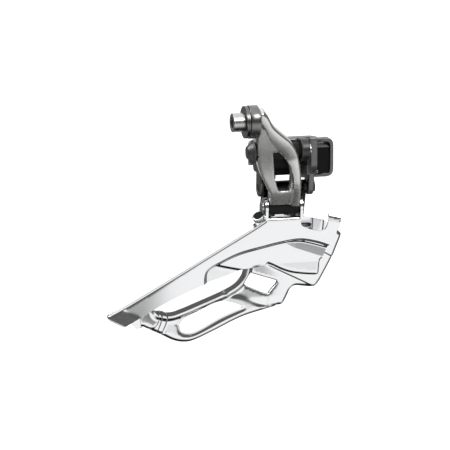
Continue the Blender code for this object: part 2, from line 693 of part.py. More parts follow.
def build_outer_plate(paint):
    upper = ARCH + OUTER_FRONT + [(-28.6, SHELF_TOP)] + OUTER_TOP_EDGE
    upper += [(-99.7, -64.2)] + OUTER_TAIL_LOWER
    plate = prism("cage_outer_plate", [upper], "Y", OUTER_FACE, OUTER_FACE + SHEET)
    raised_arch = [(x, z + 1.1) for x, z in ARCH[3:]]
    side_arch = [(-58.0, -51.0), (-58.1, -47.8), (-57.7, -44.8), (-55.9, -42.6)]
    panel_loop = side_arch + raised_arch + OUTER_LOWER_EDGE
    panel = prism("outer_plate_panel", [panel_loop], "Y", OUTER_FACE + PANEL_DROP,
                  OUTER_FACE + PANEL_DROP + SHEET)
    shelf = prism(
        "outer_plate_shelf",
        [rounded([(-28.9, OUTER_FACE + 0.3), (-13.0, OUTER_FACE + 0.3), (-11.5, -23.0),
                  (-11.5, SHELF_INBOARD), (-28.9, SHELF_INBOARD)], 0.6)],
        "Z", SHELF_TOP - SHEET, SHELF_TOP)
    slope = prism(
        "outer_plate_slope",
        [[(-28.4, SHELF_TOP), (-33.2, -25.8), (-33.2, -27.2), (-28.4, SHELF_TOP - SHEET)]],
        "Y", OUTER_FACE + 0.3, -18.0)
    eye = slanted_drum("outer_plate_eye", EYE_CENTRE, EYE_NORMAL, EYE_RADIUS, -1.8, 0.8)
    lip = prism("outer_plate_lip", [band(OUTER_TOP_EDGE[:-1], SHEET)], "Y", OUTER_FACE + 0.4,
                OUTER_FACE + 3.0)
    tail = prism("outer_plate_tail", [band([(-99.0, -64.5), (-93.7, -67.3)], SHEET)], "Y",
                 OUTER_FACE + 0.4, INNER_FACE - 0.6)
    rear_ear = upright_ear("cage_rear_ear", PIN_B, *REAR_CAGE_EAR, 3.9, SHELF_TOP - 0.6, 5.0)
    front_ear = upright_ear("cage_front_ear", PIN_B, *FRONT_CAGE_EAR, 3.9, SHELF_TOP - 0.6, 5.0)
    fuse(plate, [panel, shelf, slope, eye, lip, tail, rear_ear, front_ear])
    pin_bore = drum("pin_b_bore", "X", PIN_B, PIN_BORE, -32.0, -9.0)
    eye_bore = slanted_drum("eye_bore", EYE_CENTRE, EYE_NORMAL, PLUG_RADIUS + GAP, -1.2, 3.0)
    tools = [pin_bore, eye_bore]
    for index, (x, y) in enumerate(RIVETS):
        tools.append(drum(f"shelf_rivet_bore_{index}", "Z", (x, y), RIVET_BORE, -26.0, -20.0))
    tools.append(tail_bore("outer_tail_bore"))
    cut(plate, tools)
    return finish(plate, paint)


def tail_bar(name, radius, low, high):
    """Round bar square to the tail's end edge, measured along its normal."""
    bar = drum(name, "Z", (0.0, 0.0), radius, low, high)
    tilt = math.atan2(TAIL_NORMAL[0], TAIL_NORMAL[1])
    bar.data.transform(
        Matrix.Translation((TAIL_POINT[0] * MM, TAIL_RIVET_Y * MM, TAIL_POINT[1] * MM))
        @ Matrix.Rotation(tilt, 4, "Y"))
    return bar


def tail_bore(name):
    return tail_bar(name, RIVET_BORE, -3.0, 6.0)


def build_inner_plate(paint):
    upper = [(-28.4, -24.2), (-7.0, -24.5), (1.7, -26.7), (8.0, -31.2)] + INNER_FRONT_EDGE
    upper += INNER_STEP_LINE + [(-43.1, -55.0)] + INNER_UPPER_LIP[3::-1]
    upper += [(-36.0, -42.0), (-36.0, -30.0)]
    window = rounded(INNER_WINDOW, 1.4)
    plate = prism("cage_inner_plate", [upper, window], "Y", INNER_FACE, INNER_FACE + SHEET)
    lower = [(-17.6, -64.0)] + [(x - 0.3, z + 1.1) for x, z in INNER_STEP_LINE[1:]]
    lower += INNER_UPPER_LIP[5:] + [(-75.3, -63.2), (-84.0, -61.6), (-92.0, -61.2)]
    lower += [(-96.2, -63.9), (-92.6, -65.8)] + INNER_BOTTOM_EDGE[::-1] + [(-18.3, -65.1)]
    slot = rounded(INNER_SLOT, 1.2, 2)
    low_panel = prism("inner_plate_low_panel", [lower, slot], "Y", INNER_FACE - INNER_STEP,
                      INNER_FACE - INNER_STEP + SHEET)
    front_lip = prism("inner_plate_front_lip",
                      [band((INNER_FRONT_EDGE + INNER_BOTTOM_EDGE[:10])[::-1], SHEET)[::-1]],
                      "Y", INNER_FACE - 0.4, INNER_FACE + 2.6)
    upper_lip = prism("inner_plate_upper_lip", [band(INNER_UPPER_LIP, SHEET)],
                      "Y", INNER_FACE - INNER_STEP + 0.2, INNER_FACE + 1.8)
    flange = block("inner_plate_flange", (-27.0, -18.2, SHELF_TOP - 2 * SHEET - GAP),
                   (-12.0, INNER_FACE + 0.6, SHELF_TOP - SHEET - GAP))
    tail = prism("inner_plate_tail", [band([(-96.4, -63.9), (-92.7, -65.8)], SHEET)], "Y",
                 -19.6, INNER_FACE - 0.3)
    boss = drum("inner_plate_dimple", "Y", (-78.0, -67.4), 4.0, INNER_FACE - INNER_STEP - 0.9,
                INNER_FACE - INNER_STEP + 0.4)
    ears = []
    for index, (low, high) in enumerate((REAR_INNER_EAR, FRONT_INNER_EAR)):
        ears.append(prism(
            f"inner_plate_ear_{index}",
            [[(INNER_FACE + 0.6, -31.5), (-5.5, -33.6)]
             + [(PIN_D[0] + 3.6 * math.cos(a), PIN_D[1] + 3.6 * math.sin(a))
                for a in [math.radians(90 - 15 * step) for step in range(13)]]
             + [(-6.0, -42.0), (INNER_FACE + 0.6, -44.0)]],
            "X", low, high))
    fuse(plate, [low_panel, front_lip, upper_lip, flange, tail, boss] + ears)
    pin_bore = drum("pin_d_bore", "X", PIN_D, PIN_BORE, -32.0, -2.0)
    tools = [pin_bore, tail_bore("inner_tail_bore")]
    for index, (x, y) in enumerate(RIVETS):
        tools.append(drum(f"flange_rivet_bore_{index}", "Z", (x, y), RIVET_BORE, -28.0, -22.0))
    cut(plate, tools)
    return finish(plate, paint)


def build_rivet(name, place, paint):
    top = SHELF_TOP + 0.15
    bottom = SHELF_TOP - 2 * SHEET - GAP - 0.15
    rivet = drum(name, "Z", place, RIVET_RADIUS, bottom - 0.3, top + 0.3)
    upper = drum(name + "_head", "Z", place, RIVET_HEAD, top, top + 0.8)
    lower = drum(name + "_tail", "Z", place, RIVET_HEAD, bottom - 0.7, bottom)
    fuse(rivet, [upper, lower])
    return finish(rivet, paint)


def build_bridge_plug(paint):
    plug = slanted_drum("bridge_plug", EYE_CENTRE, EYE_NORMAL, PLUG_RADIUS, -0.9, 0.7)
    return finish(plug, paint)


def build_tail_rivet(paint):
    rivet = tail_bar("tail_rivet", RIVET_RADIUS, -0.5, 3.5)
    below = tail_bar("tail_rivet_head", RIVET_HEAD, -1.0, -0.15)
    above = tail_bar("tail_rivet_tail", 1.9, 3.15, 3.9)
    fuse(rivet, [below, above])
    return finish(rivet, paint)


def main():
    global PARTS, CUTTERS
    clear_scene()
    PARTS = new_collection("front_derailleur")
    CUTTERS = new_collection("cutters")

    grey_paint = material("satin_grey_metal", (0.13, 0.13, 0.128), 0.38, 0.6)
    link_paint = material("satin_link_metal", (0.17, 0.17, 0.168), 0.34, 0.6)
    bright = material("bright_plate", (0.80, 0.80, 0.81), 0.18, 1.0)
    nickel = material("nickel_steel", (0.62, 0.61, 0.58), 0.25, 1.0)
    black_steel = material("black_steel", (0.03, 0.03, 0.03), 0.4, 0.8)
    resin = material("black_resin", (0.02, 0.02, 0.02), 0.5, 0.0)

    build_bracket(grey_paint)
    build_fixing_bolt(nickel)
    build_radius_washer(nickel)
    build_limit_screw("low_limit_screw", SCREW_Y[0], nickel)
    build_limit_screw("high_limit_screw", SCREW_Y[1], nickel)
    headed_pin("outer_link_pin", PIN_A, FRONT_LUG[1] + GAP, REAR_LUG[0] + 1.5, nickel)
    dowel = drum("inner_link_pin", "X", PIN_C, PIN_RADIUS, REAR_EAR[0] + 0.2, -2.9)
    finish(dowel, black_steel)
    retaining_clip("inner_link_pin_clip", PIN_C, FRONT_EAR[1] + 0.2, black_steel)
    build_return_spring(black_steel)

    build_outer_link(link_paint)
    build_bush("outer_link_bush_rear", -35.4, -30.0, -35.6, -35.05, resin)
    build_bush("outer_link_bush_front", -21.0, -15.3, -15.5, -14.95, resin)
    build_anchor_bolt(nickel)
    build_cable_washer(nickel)

    build_inner_link(black_steel)

    build_outer_plate(bright)
    build_inner_plate(bright)
    headed_pin("cage_outer_pin", PIN_B, REAR_CAGE_EAR[0] - GAP, -10.3, nickel)
    retaining_clip("cage_outer_pin_clip", PIN_B, FRONT_CAGE_EAR[1] + 0.2, black_steel)
    headed_pin("cage_inner_pin", PIN_D, REAR_INNER_EAR[0] - GAP, -4.1, nickel)
    retaining_clip("cage_inner_pin_clip", PIN_D, FRONT_INNER_EAR[1] + 0.2, black_steel)
    build_rivet("bridge_rivet_rear", RIVETS[0], bright)
    build_rivet("bridge_rivet_front", RIVETS[1], bright)
    build_tail_rivet(bright)
    build_bridge_plug(resin)


main()
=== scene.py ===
"""Looks of the front derailleur: finishes, stamped plates, cast fillets, light and camera."""

import json
import math

import bmesh
import bpy
import numpy as np
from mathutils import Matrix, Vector
from mathutils.geometry import delaunay_2d_cdt


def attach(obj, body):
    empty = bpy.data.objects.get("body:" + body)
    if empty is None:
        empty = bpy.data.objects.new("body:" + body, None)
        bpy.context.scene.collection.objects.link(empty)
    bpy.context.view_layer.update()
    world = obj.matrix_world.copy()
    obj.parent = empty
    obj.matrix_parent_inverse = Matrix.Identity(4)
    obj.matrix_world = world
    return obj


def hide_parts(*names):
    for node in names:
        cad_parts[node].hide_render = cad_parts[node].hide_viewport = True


MM = 0.001
SHEET = 1.2

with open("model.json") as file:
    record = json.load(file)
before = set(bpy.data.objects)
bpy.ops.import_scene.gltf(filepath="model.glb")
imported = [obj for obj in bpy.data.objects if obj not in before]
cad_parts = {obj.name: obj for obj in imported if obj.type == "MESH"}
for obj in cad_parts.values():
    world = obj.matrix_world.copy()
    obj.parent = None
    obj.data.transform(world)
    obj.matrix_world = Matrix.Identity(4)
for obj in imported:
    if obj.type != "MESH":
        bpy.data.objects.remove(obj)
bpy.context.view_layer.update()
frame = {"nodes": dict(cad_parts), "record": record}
NODES = frame["nodes"]


# ---------------------------------------------------------------- shader helpers
#
# Noise scales are per metre, so 1000.0 gives features of about a millimetre.

# Sockets of a Mix node that mixes colours.
MIX_FACTOR = 0
MIX_FIRST = 6
MIX_SECOND = 7
MIX_RESULT = 2


def new_material(name):
    """An empty node material and its Principled shader."""
    made = bpy.data.materials.new(name)
    made.use_nodes = True
    shader = made.node_tree.nodes["Principled BSDF"]
    return made, shader


def add_node(made, kind, **values):
    """One shader node with these properties set."""
    node = made.node_tree.nodes.new(kind)
    for key, value in values.items():
        setattr(node, key, value)
    return node


def link(made, source, target):
    made.node_tree.links.new(source, target)


def surface_position(made, scale=(1.0, 1.0, 1.0), turn=(0.0, 0.0, 0.0)):
    """The point on the object in metres, turned and stretched by scale."""
    place = add_node(made, "ShaderNodeTexCoord")
    mapping = add_node(made, "ShaderNodeMapping")
    mapping.inputs["Scale"].default_value = scale
    mapping.inputs["Rotation"].default_value = turn
    link(made, place.outputs["Object"], mapping.inputs["Vector"])
    return mapping.outputs["Vector"]


def noise(made, position, scale, detail=3.0, roughness=0.55):
    node = add_node(made, "ShaderNodeTexNoise")
    node.inputs["Scale"].default_value = scale
    node.inputs["Detail"].default_value = detail
    node.inputs["Roughness"].default_value = roughness
    link(made, position, node.inputs["Vector"])
    return node.outputs["Fac"]


def spread(made, value, low, high, from_low=0.3, from_high=0.7):
    """Maps a noise value onto the range low to high."""
    node = add_node(made, "ShaderNodeMapRange")
    node.inputs["From Min"].default_value = from_low
    node.inputs["From Max"].default_value = from_high
    node.inputs["To Min"].default_value = low
    node.inputs["To Max"].default_value = high
    link(made, value, node.inputs["Value"])
    return node.outputs["Result"]


def mixed(made, factor, first, second):
    """Mix of two colours, each a tuple or another node's output."""
    node = add_node(made, "ShaderNodeMix", data_type="RGBA")
    link(made, factor, node.inputs[MIX_FACTOR])
    for colour, socket in ((first, node.inputs[MIX_FIRST]), (second, node.inputs[MIX_SECOND])):
        if isinstance(colour, tuple):
            socket.default_value = (*colour, 1.0)
        else:
            link(made, colour, socket)
    return node.outputs[MIX_RESULT]


def product(made, first, second):
    node = add_node(made, "ShaderNodeMath", operation="MULTIPLY")
    link(made, first, node.inputs[0])
    link(made, second, node.inputs[1])
    return node.outputs["Value"]


def bump(made, height, distance, strength, below=None):
    node = add_node(made, "ShaderNodeBump")
    node.inputs["Distance"].default_value = distance
    node.inputs["Strength"].default_value = strength
    link(made, height, node.inputs["Height"])
    if below is not None:
        link(made, below, node.inputs["Normal"])
    return node.outputs["Normal"]


def within(made, low, high, soft=0.0004):
    """1 inside a box of the object's own space, 0 outside."""
    place = add_node(made, "ShaderNodeTexCoord")
    split = add_node(made, "ShaderNodeSeparateXYZ")
    link(made, place.outputs["Object"], split.inputs["Vector"])
    total = None
    for axis, start, end in zip("XYZ", low, high):
        for edge, margin in ((start, soft), (end, -soft)):
            past = spread(made, split.outputs[axis], 0.0, 1.0, edge - margin, edge + margin)
            total = past if total is None else product(made, total, past)
    return total


def edge_wear(made, base, point, worn, amount):
    """The base colour rubbed through to a brighter one along raised edges, in patches."""
    geometry = add_node(made, "ShaderNodeNewGeometry")
    raised = spread(made, geometry.outputs["Pointiness"], 0.0, amount, 0.54, 0.64)
    patches = spread(made, noise(made, point, 700.0), 0.2, 1.0)
    return mixed(made, product(made, raised, patches), base, worn)


def brighter(colour, times):
    return tuple(min(0.8, times * c) for c in colour)


def darkened(made, base, boxes):
    """The base colour with a darker grey inside each (low, high, tone) box, used to paint shade."""
    for low, high, tone in boxes:
        base = mixed(made, within(made, low, high), base, (tone, tone, tone))
    return base


def painted_alloy(name, dark, light, rough, boxes):
    """Satin metallic paint on cast alloy: fine flake, faint orange peel, worn edges, and painted
    shade inside the boxes.
    """
    made, shader = new_material(name)
    point = surface_position(made)
    cloud = noise(made, point, 260.0, 4.0)
    flake = noise(made, point, 9000.0, 1.0)
    base = mixed(made, spread(made, flake, 0.0, 1.0, 0.35, 0.65), dark, light)
    base = edge_wear(made, base, point, brighter(light, 1.5), 0.5)
    link(made, darkened(made, base, boxes), shader.inputs["Base Color"])
    link(made, spread(made, cloud, *rough), shader.inputs["Roughness"])
    shader.inputs["Metallic"].default_value = 0.92
    peel = bump(made, noise(made, point, 1400.0, 2.0), 0.000005, 0.2)
    link(made, peel, shader.inputs["Normal"])
    return made


def plated_sheet(name, colour, rough=(0.10, 0.2), lines=(260.0, 900.0, 9000.0)):
    """Bright plating over rolled sheet: long faint polishing lines and a little waviness."""
    made, shader = new_material(name)
    point = surface_position(made)
    along = surface_position(made, lines, (0.0, math.radians(-28.0), 0.0))
    grain = noise(made, along, 1.0, 5.0, 0.6)
    wave = noise(made, point, 45.0, 1.0)
    tone = tuple(0.93 * c for c in colour)
    base = mixed(made, spread(made, grain, 0.0, 1.0), tone, colour)
    link(made, base, shader.inputs["Base Color"])
    link(made, spread(made, grain, *rough), shader.inputs["Roughness"])
    shader.inputs["Metallic"].default_value = 1.0
    shader.inputs["Anisotropic"].default_value = 0.3
    soft = bump(made, wave, 0.0006, 0.12)
    link(made, bump(made, grain, 0.000015, 0.35, soft), shader.inputs["Normal"])
    return made


def turned_steel(name, colour, rough=(0.22, 0.36), boxes=()):
    """Nickel-plated or oxidised turned steel: turning marks, faint stain, worn edges."""
    made, shader = new_material(name)
    point = surface_position(made)
    marks = noise(made, surface_position(made, (4200.0, 300.0, 300.0)), 1.0, 3.0)
    stain = noise(made, point, 500.0, 4.0)
    tone = tuple(0.8 * c for c in colour)
    base = mixed(made, spread(made, stain, 0.0, 1.0), tone, colour)
    base = edge_wear(made, base, point, brighter(colour, 1.6), 0.6)
    link(made, darkened(made, base, boxes), shader.inputs["Base Color"])
    link(made, spread(made, marks, *rough), shader.inputs["Roughness"])
    shader.inputs["Metallic"].default_value = 1.0
    link(made, bump(made, marks, 0.00002, 0.3), shader.inputs["Normal"])
    return made


def moulded_resin(name, colour):
    """Dull moulded resin with a fine grain."""
    made, shader = new_material(name)
    point = surface_position(made)
    grain = noise(made, point, 5200.0, 2.0)
    tone = tuple(1.5 * c for c in colour)
    base = mixed(made, spread(made, grain, 0.0, 1.0), colour, tone)
    link(made, base, shader.inputs["Base Color"])
    link(made, spread(made, noise(made, point, 300.0), 0.5, 0.66), shader.inputs["Roughness"])
    shader.inputs["Specular IOR Level"].default_value = 0.2
    link(made, bump(made, grain, 0.00003, 0.4), shader.inputs["Normal"])
    return made


# Painted shade: the saddle's recess and the room behind the link are painted black, the front lug
# darker to damp its highlight.
BRACKET_PAINTED_SHADE = (((-0.0034, -0.0140, -0.0074), (0.0068, 0.0, 0.0064), 0.012),
                ((-0.0284, -0.0300, -0.0080), (-0.0160, -0.0100, 0.0070), 0.012),
                ((-0.0146, -0.0370, 0.0020), (-0.0085, -0.0250, 0.0150), 0.07))
# The cable washer is a darker grey than the bright bolt head; the darker grey also paints down the
# highlight on its rim.
WASHER_TONE_AND_SHADE = (((-0.0417, -0.0450, 0.0150), (-0.0402, -0.0280, 0.0320), 0.16),)
# Painted shade: the boss at the link's rear end is painted a darker grey than the rest of the link,
# to damp its highlight.
LINK_PAINTED_SHADE = (((-0.0405, -0.0600, 0.0100), (-0.0356, -0.0200, 0.0400), 0.20),)
FINISH = {
    "satin_grey_metal": painted_alloy("satin_grey_metal_look", (0.15, 0.15, 0.148),
                                      (0.22, 0.22, 0.216), (0.34, 0.46), BRACKET_PAINTED_SHADE),
    "satin_link_metal": painted_alloy("satin_link_metal_look", (0.66, 0.66, 0.65),
                                      (0.76, 0.76, 0.75), (0.20, 0.30), LINK_PAINTED_SHADE),
    "bright_plate": plated_sheet("bright_plate_look", (0.93, 0.935, 0.945)),
    "nickel_steel": turned_steel("nickel_steel_look", (0.60, 0.60, 0.59), boxes=WASHER_TONE_AND_SHADE),
    "black_steel": turned_steel("black_steel_look", (0.035, 0.035, 0.036), (0.3, 0.45)),
    "black_resin": moulded_resin("black_resin_look", (0.006, 0.006, 0.0065)),
}


# ---------------------------------------------------------------- stamped sheet
#
# A stamping is drawn flat in millimetres, filled with points, raised by a relief function and
# given its thickness.  Relief is measured inboard, so a raised panel has a negative depth.

RIM_STEP = 0.6
ROW_STEP = 0.45
ROW_CLEARANCE = 0.12
GRID_CLEARANCE = 0.62
ROW_HEIGHT = math.sqrt(3.0) / 2.0
SHARP_ANGLE = math.radians(58.0)


def curve(*points, steps=5):
    """A smooth line through the points."""
    knots = np.array(points, float)
    knots = np.vstack([2 * knots[0] - knots[1], knots, 2 * knots[-1] - knots[-2]])
    line = [tuple(knots[1])]
    for a, b, c, d in zip(knots, knots[1:], knots[2:], knots[3:]):
        for t in np.linspace(0.0, 1.0, steps + 1)[1:]:
            line.append(tuple(b + 0.5 * t * (c - a + t * (2 * a - 5 * b + 4 * c - d
                                                          + t * (3 * b - a - 3 * c + d)))))
    return line


def spaced(line, pitch):
    """The line with points added so that none is further than pitch from the next."""
    points = [line[0]]
    for a, b in zip(line, line[1:]):
        count = max(1, math.ceil(math.dist(a, b) / pitch))
        points += [(a[0] + (b[0] - a[0]) * k / count, a[1] + (b[1] - a[1]) * k / count)
                   for k in range(1, count + 1)]
    return points


def beside(line, offset):
    """The line moved to its left by offset."""
    points = np.array(line, float)
    run = np.gradient(points, axis=0)
    run /= np.linalg.norm(run, axis=1)[:, None] + 1e-9
    return [tuple(p) for p in points + offset * np.column_stack([-run[:, 1], run[:, 0]])]


def ease(value, low, high):
    """0 below low, 1 above high, with a smooth rise between them."""
    t = np.clip((value - low) / (high - low), 0.0, 1.0)
    return t * t * (3.0 - 2.0 * t)


def signed_distance(points, line):
    """Distance of each point from the line, positive on its left."""
    nearest = np.full(len(points), np.inf)
    side = np.ones(len(points))
    for a, b in zip(np.array(line), np.array(line[1:])):
        run = b - a
        offset = points - a
        along = np.clip(offset @ run / (run @ run + 1e-12), 0.0, 1.0)
        gap = np.linalg.norm(offset - along[:, None] * run, axis=1)
        turn = run[0] * offset[:, 1] - run[1] * offset[:, 0]
        side = np.where(gap < nearest, np.where(turn >= 0.0, 1.0, -1.0), side)
        nearest = np.minimum(gap, nearest)
    return nearest * side


def inside(points, loop):
    """Which points lie inside a closed outline."""
    hit = np.zeros(len(points), bool)
    for (ax, ay), (bx, by) in zip(loop, loop[1:] + loop[:1]):
        if ay != by:
            spans = (ay > points[:, 1]) != (by > points[:, 1])
            hit ^= spans & (points[:, 0] < (bx - ax) * (points[:, 1] - ay) / (by - ay) + ax)
    return hit


def far_from(points, others, gap):
    """The points that are further than gap from all the others."""
    keep = np.ones(len(points), bool)
    for part in np.array_split(np.arange(len(points)), max(1, len(points) // 500)):
        away = points[part][:, None, :] - others[None, :, :]
        keep[part] = (away ** 2).sum(axis=2).min(axis=1) > gap * gap
    return points[keep]


def on_sheet(points, loops):
    """Which points lie inside the first loop and outside the others."""
    keep = inside(points, loops[0])
    for hole in loops[1:]:
        keep &= ~inside(points, hole)
    return keep


def fill_points(loops, guides, pitch):
    """Free points of the sheet: rows along the guide lines, and an even grid elsewhere."""
    rim = np.array([p for loop in loops for p in loop])
    rows = np.array([p for line in guides for p in spaced(line, ROW_STEP)]).reshape(-1, 2)
    low, high = rim.min(axis=0), rim.max(axis=0)
    columns, lines = np.meshgrid(np.arange(low[0], high[0], pitch),
                                 np.arange(low[1], high[1], pitch * ROW_HEIGHT))
    columns[1::2] += pitch / 2
    grid = np.column_stack([columns.ravel(), lines.ravel()])
    grid = far_from(grid, np.vstack([rim, rows]), GRID_CLEARANCE * pitch)
    rows = far_from(rows, rim, ROW_CLEARANCE)
    free = np.vstack([rows, grid])
    return free[on_sheet(free, loops)]


def triangulated(loops, free):
    """Points and triangles of the drawing, all turned the same way."""
    rim = [Vector(p) for loop in loops for p in loop]
    edges = []
    for loop in loops:
        first = len(edges)
        edges += [(first + k, first + (k + 1) % len(loop)) for k in range(len(loop))]
    found = delaunay_2d_cdt(rim + [Vector(p) for p in free], edges, [], 0, 0.00001)
    points = np.array([tuple(v) for v in found[0]])
    faces = np.array([tuple(f) for f in found[2]])
    faces = faces[on_sheet(points[faces].mean(axis=1), loops)]
    a, b, c = (points[faces[:, k]] for k in range(3))
    turn = (b - a)[:, 0] * (c - a)[:, 1] - (b - a)[:, 1] * (c - a)[:, 0]
    faces = [tuple(f) if t > 0 else tuple(f[::-1]) for f, t in zip(faces, turn) if abs(t) > 1e-7]
    return points, faces


def rim_walls(faces, count):
    """Quads between the sheet's open edges and those of its copy, count points further on."""
    used = {}
    for face in faces:
        used.update(dict.fromkeys(zip(face, face[1:] + face[:1])))
    return [(end, start, start + count, end + count) for start, end in used
            if (end, start) not in used]


def solid_piece(name, points, faces):
    """A smooth-shaded object of points in millimetres, with its normals outward."""
    mesh = bpy.data.meshes.new(name)
    mesh.from_pydata([tuple(p) for p in points * MM], [], [tuple(int(k) for k in f) for f in faces])
    clean = bmesh.new()
    clean.from_mesh(mesh)
    bmesh.ops.delete(clean, geom=[v for v in clean.verts if not v.link_faces], context="VERTS")
    bmesh.ops.recalc_face_normals(clean, faces=clean.faces)
    clean.to_mesh(mesh)
    clean.free()
    mesh.shade_smooth()
    piece = bpy.data.objects.new(name, mesh)
    bpy.context.scene.collection.objects.link(piece)
    return piece


def stamping(name, outline, holes, place, thickness=SHEET, guides=(), pitch=1.0):
    """A closed sheet: place(points, lift) gives the space points at a lift through the sheet."""
    loops = [spaced([*loop, loop[0]], RIM_STEP)[:-1] for loop in (outline, *holes)]
    points, faces = triangulated(loops, fill_points(loops, guides, pitch))
    count = len(points)
    back = [tuple(k + count for k in face[::-1]) for face in faces]
    space = np.vstack([place(points, 0.0), place(points, thickness)])
    return solid_piece(name, space, faces + back + rim_walls(faces, count))


def tube(inner, outer, low, high, edge):
    """Profile of a tube with rounded outer corners."""
    return ([(inner, low), (outer - edge, low), (outer - 0.3 * edge, low + 0.3 * edge),
             (outer, low + edge), (outer, high - edge), (outer - 0.3 * edge, high - 0.3 * edge),
             (outer - edge, high), (inner, high)])


def turned(name, profile, place, count=40):
    """A closed ring turned from a profile of (radius, height); place puts radial points."""
    size = len(profile)
    spots = []
    for k in range(count):
        angle = math.tau * k / count
        spots += [(r * math.cos(angle), r * math.sin(angle), h) for r, h in profile]
    faces = [(k * size + j, ((k + 1) % count) * size + j,
              ((k + 1) % count) * size + (j + 1) % size, k * size + (j + 1) % size)
             for k in range(count) for j in range(size)]
    return solid_piece(name, place(np.array(spots)), faces)


def dress(piece, body, node, slot):
    """Keeps the rim crisp, gives the finish and ties the piece to the frame."""
    piece.data.set_sharp_from_angle(angle=SHARP_ANGLE)
    piece.data.materials.append(FINISH[slot])
    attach(piece, body)
    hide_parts(node)
    return piece


def circle(centre, radius, count=28):
    return [(centre[0] + radius * math.cos(math.tau * k / count),
             centre[1] + radius * math.sin(math.tau * k / count)) for k in range(count)]


def rolled(points, line, radius):
    """Depth of an edge that turns away with this radius."""
    gap = np.clip(radius - np.abs(signed_distance(points, line)), 0.0, radius)
    return radius - np.sqrt(radius * radius - gap * gap)


def closed(loop):
    return loop + loop[:1]


def rows_beside(line, offsets):
    """Guide lines along a line, at offsets to its left."""
    return [beside(spaced(line, RIM_STEP), offset) for offset in offsets]


# ---------------------------------------------------------------- outer cage plate

OUTER_FACE = -24.5
BEND_RADIUS = 1.1
SHELF_TOP = -22.3
BEND_START = SHELF_TOP - BEND_RADIUS
BEND_LENGTH = BEND_RADIUS * math.pi / 2
SHELF_END = BEND_START + BEND_LENGTH + 10.0
SHELF_FRONT = -12.2
RIVET_X = (-24.0, -15.6)
RIVET_Y = -15.6
SHELF_HOLES = BEND_START + BEND_LENGTH + RIVET_Y - OUTER_FACE - BEND_RADIUS
RIVET_HOLE = 1.4
CAGE_PITCH = 0.85

PANEL_STEP = 1.3
LEDGE_STEP = 0.6
BRANCH_STEP = 0.9
BRANCH_TILT = 0.05
FACET_TILT = 0.11
SKIRT_TILT = 0.06
TAIL_LEAN = 0.112
PATCH_LEAN = 0.06
TAB_STEP = 0.15
TAB_TILT = 0.07
TOP_ROLL = 0.9
SKIRT_ROLL = 1.8
TAIL_ROLL = 0.4
FRONT_ROLL = 1.0
TAB_ROLL = 0.9

ARCH = curve((-56.4, -52.5), (-56.7, -47.8), (-54.9, -43.6), (-48.4, -40.1), (-40.2, -36.8),
             (-30.0, -34.6), (-21.3, -32.9), (-12.5, -32.0), (-4.5, -33.6), (2.0, -36.0))
LEDGE = curve((-55.3, -53.0), (-55.5, -47.6), (-53.9, -44.3), (-47.9, -41.1), (-39.8, -37.8),
              (-29.8, -35.5), (-21.5, -33.8), (-17.0, -33.3), (-12.0, -33.4), (-7.0, -34.5),
              (1.0, -37.0))
BRANCH = [(-53.5, -41.4), (-45.5, -43.4), (-38.4, -45.0), (-36.0, -48.0), (-20.0, -60.0)]
FACET_CREASE = [(-31.0, -29.3), (-20.1, -33.7), (-14.6, -36.6), (1.0, -42.2)]
TAB_CREASE = [(0.0, -25.6), (6.2, -27.2)]
SKIRT_CREASE = [(-28.5, -43.6), (-16.9, -43.0), (0.0, -43.0)]
TAIL_MIDDLE = [(-99.0, -65.5), (-56.0, -44.5)]
TAIL_PATCH = [(-84.0, -66.0), (-93.5, -60.0)]

OUTER_TAIL_EDGE = [(-100.3, -63.7), (-99.4, -65.0), (-93.2, -68.0)]
OUTER_LOWER = curve((-93.2, -68.0), (-86.2, -64.2), (-72.4, -57.2), (-58.1, -51.4),
                    (-46.8, -48.0), (-39.4, -45.4))
OUTER_SKIRT = ([(-39.4, -45.4), (-38.0, -44.9)]
               + curve((-35.3, -44.7), (-31.0, -44.2), (-27.0, -43.4))
               + curve((-24.5, -44.4), (-20.5, -46.4), (-16.0, -48.0), (-10.0, -49.0),
                       (-4.6, -49.5)))
OUTER_FRONT = curve((-4.6, -49.5), (-3.7, -48.8), (-3.3, -46.5), (-2.9, -43.2), (-1.8, -41.2),
                    (0.9, -35.6), (4.1, -29.9), (5.6, -27.4))
TAB = [(5.6, -27.4), (6.3, -23.2), (0.6, -21.7)]
DIP = curve((0.6, -21.7), (0.3, -25.3), (-0.6, -27.7), (-2.2, -29.1), (-6.0, -28.8),
            (-10.2, -27.2), (-12.1, -25.9), (-12.3, BEND_START))
SHELF = [(-12.3, SHELF_END), (-27.9, SHELF_END), (-27.9, BEND_START + 2.0), (-28.4, BEND_START)]
OUTER_TOP = curve((-28.4, BEND_START), (-35.1, -27.4), (-51.7, -36.6), (-67.8, -45.6),
                  (-90.8, -58.1), (-99.1, -62.2), (-100.3, -63.6))


def panel_depth(points):
    """Steps, facet and skirt of the stamped panel under the arch."""
    arch = signed_distance(points, ARCH)
    branch = signed_distance(points, BRANCH)
    riser = 1.2 + 0.7 * ease(-points[:, 0], 25.0, 50.0)
    panel = ease(-arch / riser, 0.0, 1.0)
    ledge = ease(-signed_distance(points, LEDGE), -0.1, 0.8)
    below_branch = ease(-branch, -0.2, 1.2) * ease(-arch, 0.6, 1.4)
    facet = np.maximum(signed_distance(points, FACET_CREASE), 0.0) * ease(-arch, 0.2, 1.0)
    skirt = np.maximum(-signed_distance(points, SKIRT_CREASE), 0.0)
    skirt *= ease(points[:, 0], -36.0, -30.0)
    depth = PANEL_STEP * panel + LEDGE_STEP * ledge
    depth += (BRANCH_STEP + BRANCH_TILT * branch) * below_branch
    return depth + FACET_TILT * facet - SKIRT_TILT * skirt


def tail_depth(points):
    """The band leans about its middle line at the tail, and more beyond the patch line."""
    lean = TAIL_LEAN * ease(-points[:, 0], 56.0, 88.0)
    lean += PATCH_LEAN * ease(signed_distance(points, TAIL_PATCH), -0.6, 0.6)
    return lean * signed_distance(points, TAIL_MIDDLE)


